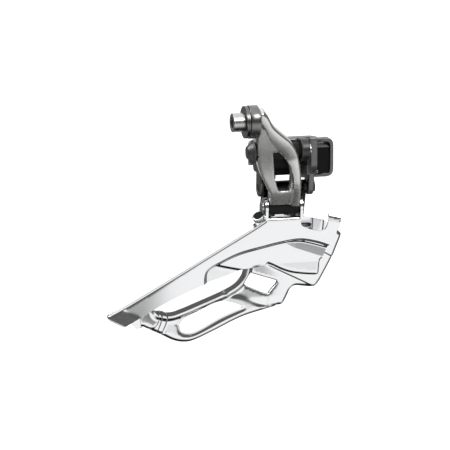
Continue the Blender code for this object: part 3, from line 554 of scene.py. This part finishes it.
def tab_depth(points):
    """The tab at the front corner stands out past its crease and leans back above it."""
    above = signed_distance(points, TAB_CREASE)
    return (TAB_TILT * above - TAB_STEP) * ease(points[:, 0], -0.9, 0.2) * ease(above, 0.0, 0.5)


def outer_depth(points):
    """How far the outboard face lies inboard of the flat band."""
    depth = panel_depth(points) + tail_depth(points) + tab_depth(points)
    depth += rolled(points, OUTER_TOP, TOP_ROLL)
    depth += rolled(points, OUTER_SKIRT, SKIRT_ROLL) * ease(points[:, 0], -28.0, -26.6)
    depth += rolled(points, OUTER_TAIL_EDGE, TAIL_ROLL)
    depth += rolled(points, OUTER_FRONT, FRONT_ROLL) * (1.0 - ease(points[:, 1], -43.0, -41.0))
    return depth + rolled(points, TAB[1:], TAB_ROLL)


def outer_place(points, lift):
    """Flat band below the bend, a quarter turn, then the level shelf."""
    x, drawn = points[:, 0], points[:, 1]
    angle = np.clip((drawn - BEND_START) / BEND_RADIUS, 0.0, math.pi / 2)
    beyond = np.clip(drawn - BEND_START - BEND_LENGTH, 0.0, None)
    radius = BEND_RADIUS - lift
    bent = (drawn > BEND_START) & (x < SHELF_FRONT)
    depth = outer_depth(points)
    y = np.where(bent, OUTER_FACE + BEND_RADIUS - radius * np.cos(angle) + beyond,
                 OUTER_FACE + lift + depth)
    z = np.where(bent, BEND_START + radius * np.sin(angle), drawn)
    return np.column_stack([x, y, z])


def outer_guides():
    """Rows of points along the creases, rolled edges and bend of the outer plate."""
    guides = rows_beside(ARCH, (0.1, -0.25, -0.6, -0.95, -1.3, -1.8))
    guides += rows_beside(OUTER_FRONT[:17], (0.2, 0.6, 1.0))
    guides += rows_beside(LEDGE, (0.1, -0.2, -0.5, -0.8, -1.1))
    guides += rows_beside(BRANCH[:3], (0.2, -0.2, -0.6, -1.0))
    guides += rows_beside(OUTER_TOP, (0.14, 0.36, 0.63, 0.9))
    guides += rows_beside(OUTER_SKIRT[10:], (0.18, 0.5, 1.0, 1.5, 1.9))
    guides += rows_beside(OUTER_TAIL_EDGE, (0.14, 0.36, 0.63, 0.9))
    guides += rows_beside(FACET_CREASE[1:], (-0.25, 0.0, 0.3))
    guides += rows_beside(SKIRT_CREASE, (0.0, -0.4))
    guides += rows_beside(TAIL_PATCH, (-0.6, -0.2, 0.2, 0.6))
    guides += rows_beside(TAB_CREASE, (0.0, 0.35, 0.7))
    guides += rows_beside(TAB[1:], (0.18, 0.45, 0.9))
    for height in (BEND_START + k * BEND_LENGTH / 6 for k in range(7)):
        guides.append([(-28.0, height), (-12.6, height)])
    return guides


def build_outer_sheet():
    outline = (OUTER_TAIL_EDGE[:-1] + OUTER_LOWER[:-1] + OUTER_SKIRT[:-1] + OUTER_FRONT[:-1]
               + TAB[:-1] + DIP[:-1] + SHELF[:-1] + OUTER_TOP[:-1])
    holes = [circle((x, SHELF_HOLES), RIVET_HOLE) for x in RIVET_X]
    sheet = stamping("outer_plate_sheet", outline, holes, outer_place,
                     guides=outer_guides(), pitch=CAGE_PITCH)
    return dress(sheet, "cage", "cage_outer_plate", "bright_plate")


# ---------------------------------------------------------------- inner cage plate

INNER_FACE = -11.5
UPPER_LEAN = 0.09
LOW_TILT = 0.068
LIP_BEVEL = 0.42
LIP_RISE = 1.2
SLOT_GROOVE = 0.22
ARC_STEP = 0.5
PAD_TILT = 0.075
PAD_RISE = 0.35
MIDDLE_STEP = 0.45
FRONT_RECESS = 0.4
FOLD_RISE = 0.6
POCKET_DEPTH = 2.0
WINDOW_ROLL = 0.8
BOTTOM_ROLL = 2.1
NOSE_ROLL = 1.8

INNER_BOTTOM = curve((-81.3, -70.9), (-73.0, -74.9), (-67.6, -77.7), (-62.6, -78.8),
                     (-57.6, -78.1), (-48.2, -74.2), (-36.7, -69.1), (-26.0, -66.3),
                     (-19.2, -65.0))
INNER_FRONT = curve((-19.2, -65.0), (-16.6, -63.9), (-14.8, -60.9), (-13.2, -57.7), (-11.0, -56.3),
                    (-7.0, -56.7), (-3.2, -57.1), (-0.6, -55.8), (3.0, -49.8), (6.3, -43.6),
                    (8.4, -38.6), (10.0, -34.6), (9.9, -33.1), (9.0, -32.3))
INNER_TOP = [(9.0, -32.3), (7.6, -31.0), (1.7, -26.7), (-7.0, -24.6), (-28.4, -24.2),
             (-28.8, -27.4), (-31.6, -30.7), (-36.6, -33.6), (-36.4, -42.0), (-35.0, -46.8)]
INNER_LIP = curve((-35.0, -46.8), (-36.2, -50.0), (-39.4, -53.2), (-44.5, -55.9), (-55.1, -60.0),
                  (-64.3, -63.4), (-69.6, -64.7), (-74.0, -63.6))
INNER_TAIL = [(-74.0, -63.6), (-84.0, -62.4), (-91.0, -63.8), (-95.0, -65.2), (-92.6, -65.9),
              (-88.4, -67.4), (-84.4, -71.7), (-81.3, -70.9)]
SLOT = curve((-64.7, -70.6), (-63.6, -73.8), (-59.7, -74.6), (-55.0, -73.0), (-46.0, -68.4),
             (-37.6, -65.1), (-36.0, -64.0), (-38.0, -62.8), (-44.2, -61.0), (-49.2, -61.8),
             (-56.0, -64.9), (-62.6, -68.3), (-64.7, -70.6))[:-1]
WINDOW_CORNERS = [(-31.9, -49.2), (-35.1, -54.2), (-24.1, -59.0), (-18.9, -53.6)]

LOW_LINE = curve((-12.0, -66.5), (-19.2, -64.6), (-26.5, -62.7), (-32.4, -60.2), (-37.0, -58.4),
                 (-43.0, -56.9), (-46.0, -52.0))
MIDDLE_CREASE = [(-25.0, -45.0), (-13.7, -50.6), (-6.8, -54.1), (-1.2, -57.2)]
FRONT_STEP = [(-8.0, -36.0), (2.4, -41.2), (9.5, -45.0)]
TAIL_ARCS = [curve((-75.6, -62.0), (-73.9, -65.1), (-73.4, -67.6), (-74.2, -70.4), (-76.4, -75.0)),
             curve((-72.6, -62.5), (-71.1, -65.7), (-70.9, -68.0), (-71.8, -70.9), (-74.6, -76.0))]
SLOT_AXIS = [(-70.0, -73.5), (-30.0, -60.0)]
PAD = (-78.6, -67.6)
CORNER_FOLDS = ([(-3.3, -36.0), (-3.3, -22.0)], [(1.0, -36.0), (2.4, -22.0)])


def corner_rounded(corners, radius, steps=5):
    """Closed outline with its corners rounded."""
    outline = []
    for before, here, after in zip(corners[-1:] + corners[:-1], corners, corners[1:] + corners[:1]):
        here, before, after = (np.array(p) for p in (here, before, after))
        start = here + radius * (before - here) / np.linalg.norm(before - here)
        end = here + radius * (after - here) / np.linalg.norm(after - here)
        for t in np.linspace(0.0, 1.0, steps):
            outline.append(tuple((1 - t) ** 2 * start + 2 * t * (1 - t) * here + t * t * end))
    return outline


WINDOW = corner_rounded(WINDOW_CORNERS, 1.5)


def low_depth(points):
    """The face leans back above LOW_LINE; below it the panel stands out and tilts."""
    x, z = points[:, 0], points[:, 1]
    low = ease(signed_distance(points, LOW_LINE), 0.0, 2.4)
    height = 0.3 + 0.8 * ease(-x, 22.0, 40.0)
    lean = UPPER_LEAN * ease(-x, 13.0, 26.0) * ease(z, -66.0, -60.0)
    depth = lean * np.minimum(z + 53.0, 9.0) * (1.0 - low) - height * low
    return depth + LOW_TILT * signed_distance(points, SLOT_AXIS) * low


def lip_depth(points):
    """The raised band along the lip, bevelled at its edge, and the groove round the slot."""
    lip = np.abs(signed_distance(points, INNER_LIP))
    slot = np.abs(signed_distance(points, closed(SLOT)))
    depth = LIP_BEVEL * np.clip(1.0 - lip / 1.5, 0.0, 1.0) - LIP_RISE * (1.0 - ease(lip, 2.3, 4.6))
    groove = (1.0 - ease(slot, 1.0, 1.6)) * (1.0 - ease(points[:, 1], -65.5, -63.5))
    return depth + SLOT_GROOVE * groove


def tail_end_depth(points):
    """Two arcs step the tail outboard, and a round pad there stands out and tilts."""
    rise = sum(1.0 - ease(signed_distance(points, step), 0.0, 0.8) for step in TAIL_ARCS)
    pad = np.hypot(points[:, 0] - PAD[0], points[:, 1] - PAD[1])
    tilt = PAD_TILT * (points[:, 1] - PAD[1]) * (1.0 - ease(pad, 3.4, 4.4))
    return tilt - ARC_STEP * rise - PAD_RISE * (1.0 - ease(pad, 3.9, 4.5))


def nose_depth(points):
    """Two creases across the front, the folded top corner and the pocket behind it."""
    x, z = points[:, 0], points[:, 1]
    middle = ease(-signed_distance(points, MIDDLE_CREASE), 0.0, 0.8) * ease(x, -26.0, -22.0)
    front = ease(-signed_distance(points, FRONT_STEP), 0.0, 0.9) * ease(x, -6.0, 0.0)
    corner = ease(z, -35.0, -33.0)
    folds = sum(ease(signed_distance(points, fold), 0.0, 0.7) for fold in CORNER_FOLDS) * corner
    pocket = ease(-27.3 - z, 0.0, 2.6) * (1.0 - ease(x, -4.6, -3.6)) * corner
    pocket *= ease(x, -14.0, -11.0)
    return (MIDDLE_STEP * middle + FRONT_RECESS * front - FOLD_RISE * folds
            + POCKET_DEPTH * pocket)


def inner_depth(points):
    """How far the outboard face lies inboard of the plate's main face."""
    depth = low_depth(points) + lip_depth(points) + tail_end_depth(points) + nose_depth(points)
    depth += rolled(points, closed(WINDOW), WINDOW_ROLL)
    depth += rolled(points, INNER_BOTTOM, BOTTOM_ROLL)
    return depth + rolled(points, INNER_FRONT, NOSE_ROLL)


def inner_place(points, lift):
    return np.column_stack([points[:, 0], INNER_FACE + lift + inner_depth(points), points[:, 1]])


def inner_guides():
    """Rows of points along the creases and rolled edges of the inner plate."""
    guides = rows_beside(INNER_LIP, (0.5, 1.0, 1.5, 1.9, 2.3, 2.8, 3.3, 3.8, 4.3))
    guides += rows_beside(LOW_LINE, (0.0, 0.6, 1.2, 1.8, 2.4))
    guides += rows_beside(INNER_BOTTOM + INNER_FRONT[1:], (0.2, 0.55, 1.0, 1.5, 2.0))
    for line in (*TAIL_ARCS, *CORNER_FOLDS):
        guides += rows_beside(line, (0.0, 0.25, 0.55, 0.8))
    for line in (MIDDLE_CREASE, FRONT_STEP):
        guides += rows_beside(line, (0.0, -0.3, -0.6, -0.9))
    guides += rows_beside(closed(SLOT), (-0.5, -1.0, -1.3, -1.6))
    guides += [circle(PAD, radius) for radius in (3.4, 3.9, 4.2, 4.5)]
    guides += rows_beside(closed(WINDOW), (0.2, 0.5, 0.8, -0.2, -0.5, -0.8))
    return guides


def build_inner_sheet():
    outline = (INNER_BOTTOM[:-1] + INNER_FRONT[:-1] + INNER_TOP[:-1] + INNER_LIP[:-1]
               + INNER_TAIL[:-1])
    sheet = stamping("inner_plate_sheet", outline, [SLOT, WINDOW], inner_place,
                     guides=inner_guides(), pitch=CAGE_PITCH)
    return dress(sheet, "cage", "cage_inner_plate", "bright_plate")


# ---------------------------------------------------------------- ears, bridge and tail

PIN_B = (-21.246, -17.8)
PIN_D = (-2.746, -37.8)
PIN_BORE = 1.95
OUTER_EARS = (("rear", -27.4), ("front", -11.5))
INNER_EARS = (("rear", -26.8), ("front", -5.3))
INNER_EAR_THICKNESS = 1.4
FLANGE_TOP = SHELF_TOP - SHEET - 0.3
TAIL_RIVET = (-95.37, -66.39)
TAIL_RIVET_Y = -16.0


def upright(x):
    """Places a drawing of Y and Z as a sheet whose front face is at x."""
    return lambda points, lift: np.column_stack(
        [np.full(len(points), x - lift), points[:, 0], points[:, 1]])


def arc(centre, radius, start, end, count=16):
    return [(centre[0] + radius * math.cos(math.radians(a)),
             centre[1] + radius * math.sin(math.radians(a)))
            for a in np.linspace(start, end, count)]


def build_outer_ears():
    outline = ([(PIN_B[0] - 3.9, SHELF_TOP - 1.0), (PIN_B[0] + 3.9, SHELF_TOP - 1.0)]
               + arc(PIN_B, 4.4, -20.0, 200.0, 26))
    for side, face in OUTER_EARS:
        ear = stamping(f"outer_plate_{side}_ear", outline, [circle(PIN_B, PIN_BORE)],
                       upright(face))
        dress(ear, "cage", "cage_outer_plate", "bright_plate")


def build_inner_ears():
    outline = ([(INNER_FACE + 0.6, -44.0), (-6.0, -42.0)] + arc(PIN_D, 3.6, -60.0, 90.0)
               + [(-5.5, -33.6), (INNER_FACE + 0.6, -31.5)])
    for side, face in INNER_EARS:
        ear = stamping(f"inner_plate_{side}_ear", outline, [circle(PIN_D, PIN_BORE)],
                       upright(face), INNER_EAR_THICKNESS)
        dress(ear, "cage", "cage_inner_plate", "bright_plate")


def build_bridge_flange():
    """Ledge of the inner plate that is riveted under the outer plate's shelf."""
    def place(points, lift):
        return np.column_stack([points, np.full(len(points), FLANGE_TOP - lift)])

    outline = corner_rounded([(-27.0, -18.2), (-12.0, -18.2), (-12.0, INNER_FACE + 0.8),
                              (-27.0, INNER_FACE + 0.8)], 1.2)
    holes = [circle((x, RIVET_Y), RIVET_HOLE) for x in RIVET_X]
    flange = stamping("inner_plate_flange", outline, holes, place)
    dress(flange, "cage", "cage_inner_plate", "bright_plate")


def tail_flange(name, start, end, low, high, node):
    """Sheet turned inboard at the tail, between two points of X and Z."""
    run = np.array(end) - np.array(start)
    length = np.linalg.norm(run)
    run = run / length
    normal = np.array([-run[1], run[0]])
    centre = float((np.array(TAIL_RIVET) - np.array(start)) @ run)

    def place(points, lift):
        spot = np.array(start) + points[:, :1] * run + (lift - SHEET / 2) * normal
        return np.column_stack([spot[:, 0], points[:, 1], spot[:, 1]])

    outline = corner_rounded([(0.0, low), (length, low), (length, high), (0.0, high)], 0.8)
    flange = stamping(name, outline, [circle((centre, TAIL_RIVET_Y), RIVET_HOLE)], place)
    dress(flange, "cage", node, "bright_plate")


def build_tail_flanges():
    tail_flange("outer_plate_tail_flange", (-98.06, -64.23), (-93.36, -66.63), OUTER_FACE + 1.0,
                -13.6, "cage_outer_plate")
    tail_flange("inner_plate_tail_flange", (-95.77, -63.66), (-92.47, -65.36), -19.6,
                INNER_FACE - 0.3, "cage_inner_plate")


EYE_CENTRE = Vector((-30.2, -19.6, -22.3))
EYE_NORMAL = Vector((-0.487, -0.388, 0.78)).normalized()
# The strip is drawn as a rectangle and stretched between these two edges of X, Y and Z.
STRIP_WIDTH = 6.0
STRIP_REACH = 4.0
STRIP_CUT = 2.5
STRIP_LOWER = np.array([(-34.8, -24.0, -27.5), (-28.4, -23.6, -24.3)])
STRIP_UPPER = np.array([(-32.4, -20.6, -23.9), (-28.6, -18.0, -23.4)])


def strip_place(points, lift):
    t, s = points[:, :1] / STRIP_WIDTH, points[:, 1:] / STRIP_REACH
    lower = (1 - t) * STRIP_LOWER[0] + t * STRIP_LOWER[1]
    upper = (1 - t) * STRIP_UPPER[0] + t * STRIP_UPPER[1]
    bulge = 0.5 * np.sin(np.pi * s) * np.array([-0.3, -0.5, 0.8])
    return (1 - s) * lower + s * upper + bulge + lift * np.array([0.3, 0.45, -0.84])


def build_eye():
    """Rolled collar at the bridge's rear end, on a strip that rises from the plate's top edge."""
    turn = np.array(EYE_NORMAL.to_track_quat("Z", "X").to_matrix())
    ring = turned("outer_plate_eye", tube(2.2, 3.0, -1.6, 0.8, 0.35),
                  lambda p: p @ turn.T + np.array(EYE_CENTRE))
    dress(ring, "cage", "cage_outer_plate", "bright_plate")
    outline = [(0.0, 0.0), (STRIP_WIDTH, 0.0), (STRIP_WIDTH, STRIP_CUT), (0.0, STRIP_CUT)]
    strip = stamping("outer_plate_eye_strip", outline, [], strip_place, 1.0)
    dress(strip, "cage", "cage_outer_plate", "bright_plate")


# ---------------------------------------------------------------- outer link
#
# Drawn in the link's own upright frame: X, and W up the link from its upper pin.

LINK_TILT = math.radians(20.0)
LINK_LENGTH = 28.52
PIN_A = (-31.0, 9.0)
ANCHOR_W = 15.6
# The casting's back keeps this far from the axis of the upper pin.
BORE_ROOM = 2.95
CASTING_THICKNESS = 3.4
CASTING_PITCH = 0.7
CROWN_HEIGHT = 0.3

LINK_RIGHT = curve((-13.3, -25.6), (-13.9, -17.3), (-14.7, -8.0), (-16.8, 0.6), (-20.2, 6.4),
                   (-25.2, 11.0), (-28.9, 14.6), (-31.0, 18.4), (-33.0, 21.2))
LINK_CROWN = curve((-33.0, 21.2), (-33.8, 21.7), (-34.8, 21.7), (-35.6, 21.2))
LINK_LEFT = curve((-35.6, 21.2), (-35.6, 15.0), (-35.3, 6.6), (-34.8, -1.9), (-32.6, -9.3),
                  (-29.2, -16.3), (-27.2, -20.6), (-26.9, -25.6))
LINK_WINDOW = corner_rounded([(-27.9, 1.6), (-23.9, 0.9), (-20.0, -5.6), (-18.3, -11.0),
                              (-18.2, -18.4), (-23.6, -18.6), (-25.9, -11.8)], 1.3)
STRUT_LINE = curve((-17.4, -26.0), (-17.7, -16.0), (-18.4, -9.8), (-20.8, -3.9), (-25.2, 1.6),
                   (-29.9, 8.2), (-33.0, 13.9), (-34.9, 17.0), (-36.2, 22.5))
# Each pair is a height up the link and the face's y there; outboard is negative.
STRUT_FACE = curve((-26.0, -5.0), (-17.4, -6.05), (-14.8, -6.2), (-12.2, -6.1), (-4.4, -5.2),
                   (-1.9, -4.9), (0.7, -4.95), (5.9, -5.07), (11.1, -4.85), (16.2, -4.3),
                   (24.0, -3.1))
WEB_FACE = curve((-26.0, -3.35), (-22.5, -3.75), (-20.0, -3.98), (-17.4, -4.0), (-9.6, -3.58),
                 (-4.4, -3.58), (3.3, -3.89), (11.1, -3.92), (24.0, -3.7))


def on_link(x, y, w):
    """Row-frame points of the link's own x, y and w."""
    return np.column_stack([x, PIN_A[0] + y * math.cos(LINK_TILT) - w * math.sin(LINK_TILT),
                            PIN_A[1] + y * math.sin(LINK_TILT) + w * math.cos(LINK_TILT)])


def link_place(points, lift):
    """Crowned strut on the right, a lower scooped web on the left."""
    x, w = points[:, 0], points[:, 1]
    strut_face = np.interp(w, *np.array(STRUT_FACE).T)
    web_face = np.interp(w, *np.array(WEB_FACE).T)
    inset = -signed_distance(points, STRUT_LINE)
    share = ease(inset, -0.1, 0.3)
    edge = np.abs(signed_distance(points, LINK_RIGHT))
    across = np.clip(inset / (inset + edge + 0.01), 0.0, 1.0)
    face = web_face + (strut_face - web_face - CROWN_HEIGHT * np.sin(math.pi * across)) * share
    face += rolled(points, LINK_RIGHT, 0.8) + rolled(points, LINK_CROWN, 1.6)
    face += 0.8 * rolled(points, LINK_LEFT, 1.0)
    face += 0.6 * rolled(points, closed(LINK_WINDOW), 0.6)
    y = face + lift
    if lift > 0.0:
        bore = np.sqrt(np.clip(BORE_ROOM ** 2 - w ** 2, 0.0, None))
        y = np.where(bore > 0.0, np.minimum(y, -bore), y)
    return on_link(x, y, w)


def link_barrel(name, w, profile, slot):
    """A ring round the X axis through the link at w."""
    ring = turned(name, profile, lambda p: on_link(p[:, 2], p[:, 0], w + p[:, 1]))
    dress(ring, "outer_link", "outer_link", slot)


def link_guides():
    """Rows of points along the rolled edges and the step of the casting."""
    guides = rows_beside(LINK_RIGHT, (0.15, 0.45, 0.8)) + rows_beside(LINK_LEFT, (0.15, 0.5, 1.0))
    guides += rows_beside(LINK_CROWN, (0.3, 0.8, 1.2, 1.6))
    guides += rows_beside(STRUT_LINE, (0.12, -0.1, -0.3, -0.7))
    guides += rows_beside(closed(LINK_WINDOW), (0.15, 0.35, 0.6, -0.15, -0.35, -0.6))
    return guides


def build_outer_link():
    outline = LINK_LEFT + LINK_RIGHT[:-1] + LINK_CROWN[:-1]
    casting = stamping("outer_link_casting", outline, [LINK_WINDOW], link_place,
                       CASTING_THICKNESS, link_guides(), CASTING_PITCH)
    dress(casting, "outer_link", "outer_link", "satin_link_metal")
    link_barrel("outer_link_boss", ANCHOR_W, tube(2.75, 7.4, -40.0, -35.4, 0.35),
                "satin_link_metal")
    # The barrels take the black resin finish; on the lower barrel this black also stands in for the
    # shade under the link.
    link_barrel("outer_link_upper_barrel", 0.0, tube(2.6, 3.7, -34.9, -15.7, 0.3), "black_resin")
    link_barrel("outer_link_lower_barrel", -LINK_LENGTH, tube(1.95, 3.5, -27.1, -13.0, 0.3),
                "black_resin")


# ---------------------------------------------------------------- CAD nodes that stay

CAST_VOXEL = 0.28
CAST_PASSES = 6
EDGE_RADIUS = 0.15


def soften(piece, width):
    """Rounds the edges of a carried-over node with modifiers only."""
    weld = piece.modifiers.new("weld", "WELD")
    weld.merge_threshold = 0.000002
    flat = piece.modifiers.new("flat", "DECIMATE")
    flat.decimate_type = "DISSOLVE"
    flat.angle_limit = math.radians(1.0)
    edge = piece.modifiers.new("edge", "BEVEL")
    edge.width = width * MM
    edge.segments = 2
    edge.limit_method = "ANGLE"
    edge.angle_limit = math.radians(32.0)
    shade = piece.modifiers.new("shade", "WEIGHTED_NORMAL")
    shade.keep_sharp = True


def cast(piece, voxel, passes):
    """Gives a cast node its fillets with modifiers only."""
    remesh = piece.modifiers.new("skin", "REMESH")
    remesh.mode = "VOXEL"
    remesh.voxel_size = voxel * MM
    remesh.use_smooth_shade = True
    smooth = piece.modifiers.new("fillet", "SMOOTH")
    smooth.factor = 0.5
    smooth.iterations = passes


SLOTS = {s["node"]: s["material_slot"] for s in frame["record"]["subparts"]}
for name, node in NODES.items():
    node.data.materials.clear()
    node.data.materials.append(FINISH[SLOTS[name]])
    node.data.shade_smooth()
    if name == "bracket_body":
        cast(node, CAST_VOXEL, CAST_PASSES)
    else:
        soften(node, EDGE_RADIUS)


# ---------------------------------------------------------------- stage
#
# Stops are (position, brightness); positions run from 0 (straight down) to 1 (straight up).

STUDIO_FRONT = [(0.0, 0.01), (0.07, 0.02), (0.14, 0.35), (0.23, 1.0), (0.455, 1.0),
                (0.52, 0.10), (0.78, 0.10), (0.90, 0.9), (1.0, 1.3)]
STUDIO_BEHIND = [(0.0, 0.01), (0.05, 0.02), (0.12, 0.35), (0.24, 0.9), (0.40, 0.8),
                 (0.43, 0.3), (0.485, 0.3), (0.54, 0.85), (0.60, 1.0), (1.0, 1.3)]
FLAG_TONE = (0.08, 0.08, 0.08)
CARD_TONE = (0.06, 0.06, 0.06)
FLOOR_HEIGHT = -0.15
LIGHT_AIM = (-0.03, 0.0, -0.03)
VIEW_CENTRE = Vector((-0.0393, 0.0045, -0.0301))
VIEW_DISTANCE = 4.444
VIEW_AZIMUTH = math.radians(-15.0)
VIEW_ELEVATION = math.radians(11.0)


def build_floor():
    mesh = bpy.data.meshes.new("floor")
    bm = bmesh.new()
    bmesh.ops.create_grid(bm, x_segments=1, y_segments=1, size=8.0)
    bm.to_mesh(mesh)
    bm.free()
    floor = bpy.data.objects.new("floor", mesh)
    floor.location.z = FLOOR_HEIGHT
    bpy.context.scene.collection.objects.link(floor)
    made, shader = new_material("floor_look")
    shader.inputs["Base Color"].default_value = (0.9, 0.9, 0.9, 1.0)
    shader.inputs["Roughness"].default_value = 0.8
    shader.inputs["Specular IOR Level"].default_value = 0.0
    shader.inputs["Emission Color"].default_value = (1.0, 1.0, 1.0, 1.0)
    shader.inputs["Emission Strength"].default_value = 0.6
    mesh.materials.append(made)
    floor.visible_glossy = False


def area_light(name, place, aim, size, power):
    data = bpy.data.lights.new(name, "AREA")
    data.shape = "RECTANGLE"
    data.size, data.size_y = size
    data.energy = power
    lamp = bpy.data.objects.new(name, data)
    lamp.location = place
    lamp.rotation_euler = (Vector(aim) - Vector(place)).to_track_quat("-Z", "Y").to_euler()
    bpy.context.scene.collection.objects.link(lamp)


def ramp(made, factor, stops):
    """Grey ramp over the stops."""
    node = add_node(made, "ShaderNodeValToRGB")
    elements = node.color_ramp.elements
    elements[0].position, elements[1].position = stops[0][0], stops[-1][0]
    for position, _ in stops[1:-1]:
        elements.new(position)
    for element, (_, grey) in zip(elements, stops):
        element.color = (grey, grey, grey, 1.0)
    link(made, factor, node.inputs["Fac"])
    return node.outputs["Color"]


def smooth_share(made, value, low, high):
    """0 to 1 with soft ends as the value goes from low to high."""
    node = add_node(made, "ShaderNodeMapRange", interpolation_type="SMOOTHSTEP")
    node.inputs["From Min"].default_value = low
    node.inputs["From Max"].default_value = high
    link(made, value, node.inputs["Value"])
    return node.outputs["Result"]


def build_world():
    """Soft studio: a bright overhead tent, a dark band above eye level, a bright sweep below it
    that falls off to black underfoot, dark flags on both sides, a dark card behind on the left."""
    world = bpy.data.worlds.new("studio")
    world.use_nodes = True
    place = add_node(world, "ShaderNodeTexCoord")
    split = add_node(world, "ShaderNodeSeparateXYZ")
    link(world, place.outputs["Generated"], split.inputs["Vector"])
    height = spread(world, split.outputs["Z"], 0.0, 1.0, -1.0, 1.0)
    behind = smooth_share(world, split.outputs["Y"], 0.1, 0.6)
    front_sky = ramp(world, height, STUDIO_FRONT)
    sky = mixed(world, behind, front_sky, ramp(world, height, STUDIO_BEHIND))
    on_left = smooth_share(world, split.outputs["X"], -0.08, -0.3)
    sky = mixed(world, product(world, on_left, behind), sky, CARD_TONE)
    across = add_node(world, "ShaderNodeMath", operation="ABSOLUTE")
    link(world, split.outputs["X"], across.inputs[0])
    sky = mixed(world, smooth_share(world, across.outputs["Value"], 0.55, 0.85), sky, FLAG_TONE)
    background = world.node_tree.nodes["Background"]
    link(world, sky, background.inputs["Color"])
    background.inputs["Strength"].default_value = 1.0
    bpy.context.scene.world = world


def build_camera():
    """A distant camera, since the photo shows hardly any perspective."""
    data = bpy.data.cameras.new("camera")
    data.lens = 800.0
    data.sensor_width = 36.0
    data.clip_start, data.clip_end = 0.05, 60.0
    camera = bpy.data.objects.new("camera", data)
    back = Vector((math.sin(VIEW_AZIMUTH) * math.cos(VIEW_ELEVATION),
                   -math.cos(VIEW_AZIMUTH) * math.cos(VIEW_ELEVATION), math.sin(VIEW_ELEVATION)))
    camera.location = VIEW_CENTRE + back * VIEW_DISTANCE
    camera.rotation_euler = (-back).to_track_quat("-Z", "Y").to_euler()
    bpy.context.scene.collection.objects.link(camera)
    bpy.context.scene.camera = camera


build_outer_link()
build_outer_sheet()
build_inner_sheet()
build_outer_ears()
build_inner_ears()
build_bridge_flange()
build_tail_flanges()
build_eye()
build_floor()
build_world()
area_light("key", (0.3, -0.7, 0.8), LIGHT_AIM, (0.5, 0.4), 5.0)
area_light("rim", (-0.6, 0.2, 0.5), LIGHT_AIM, (0.4, 0.4), 2.0)
build_camera()
bpy.context.scene.view_settings.view_transform = "Standard"
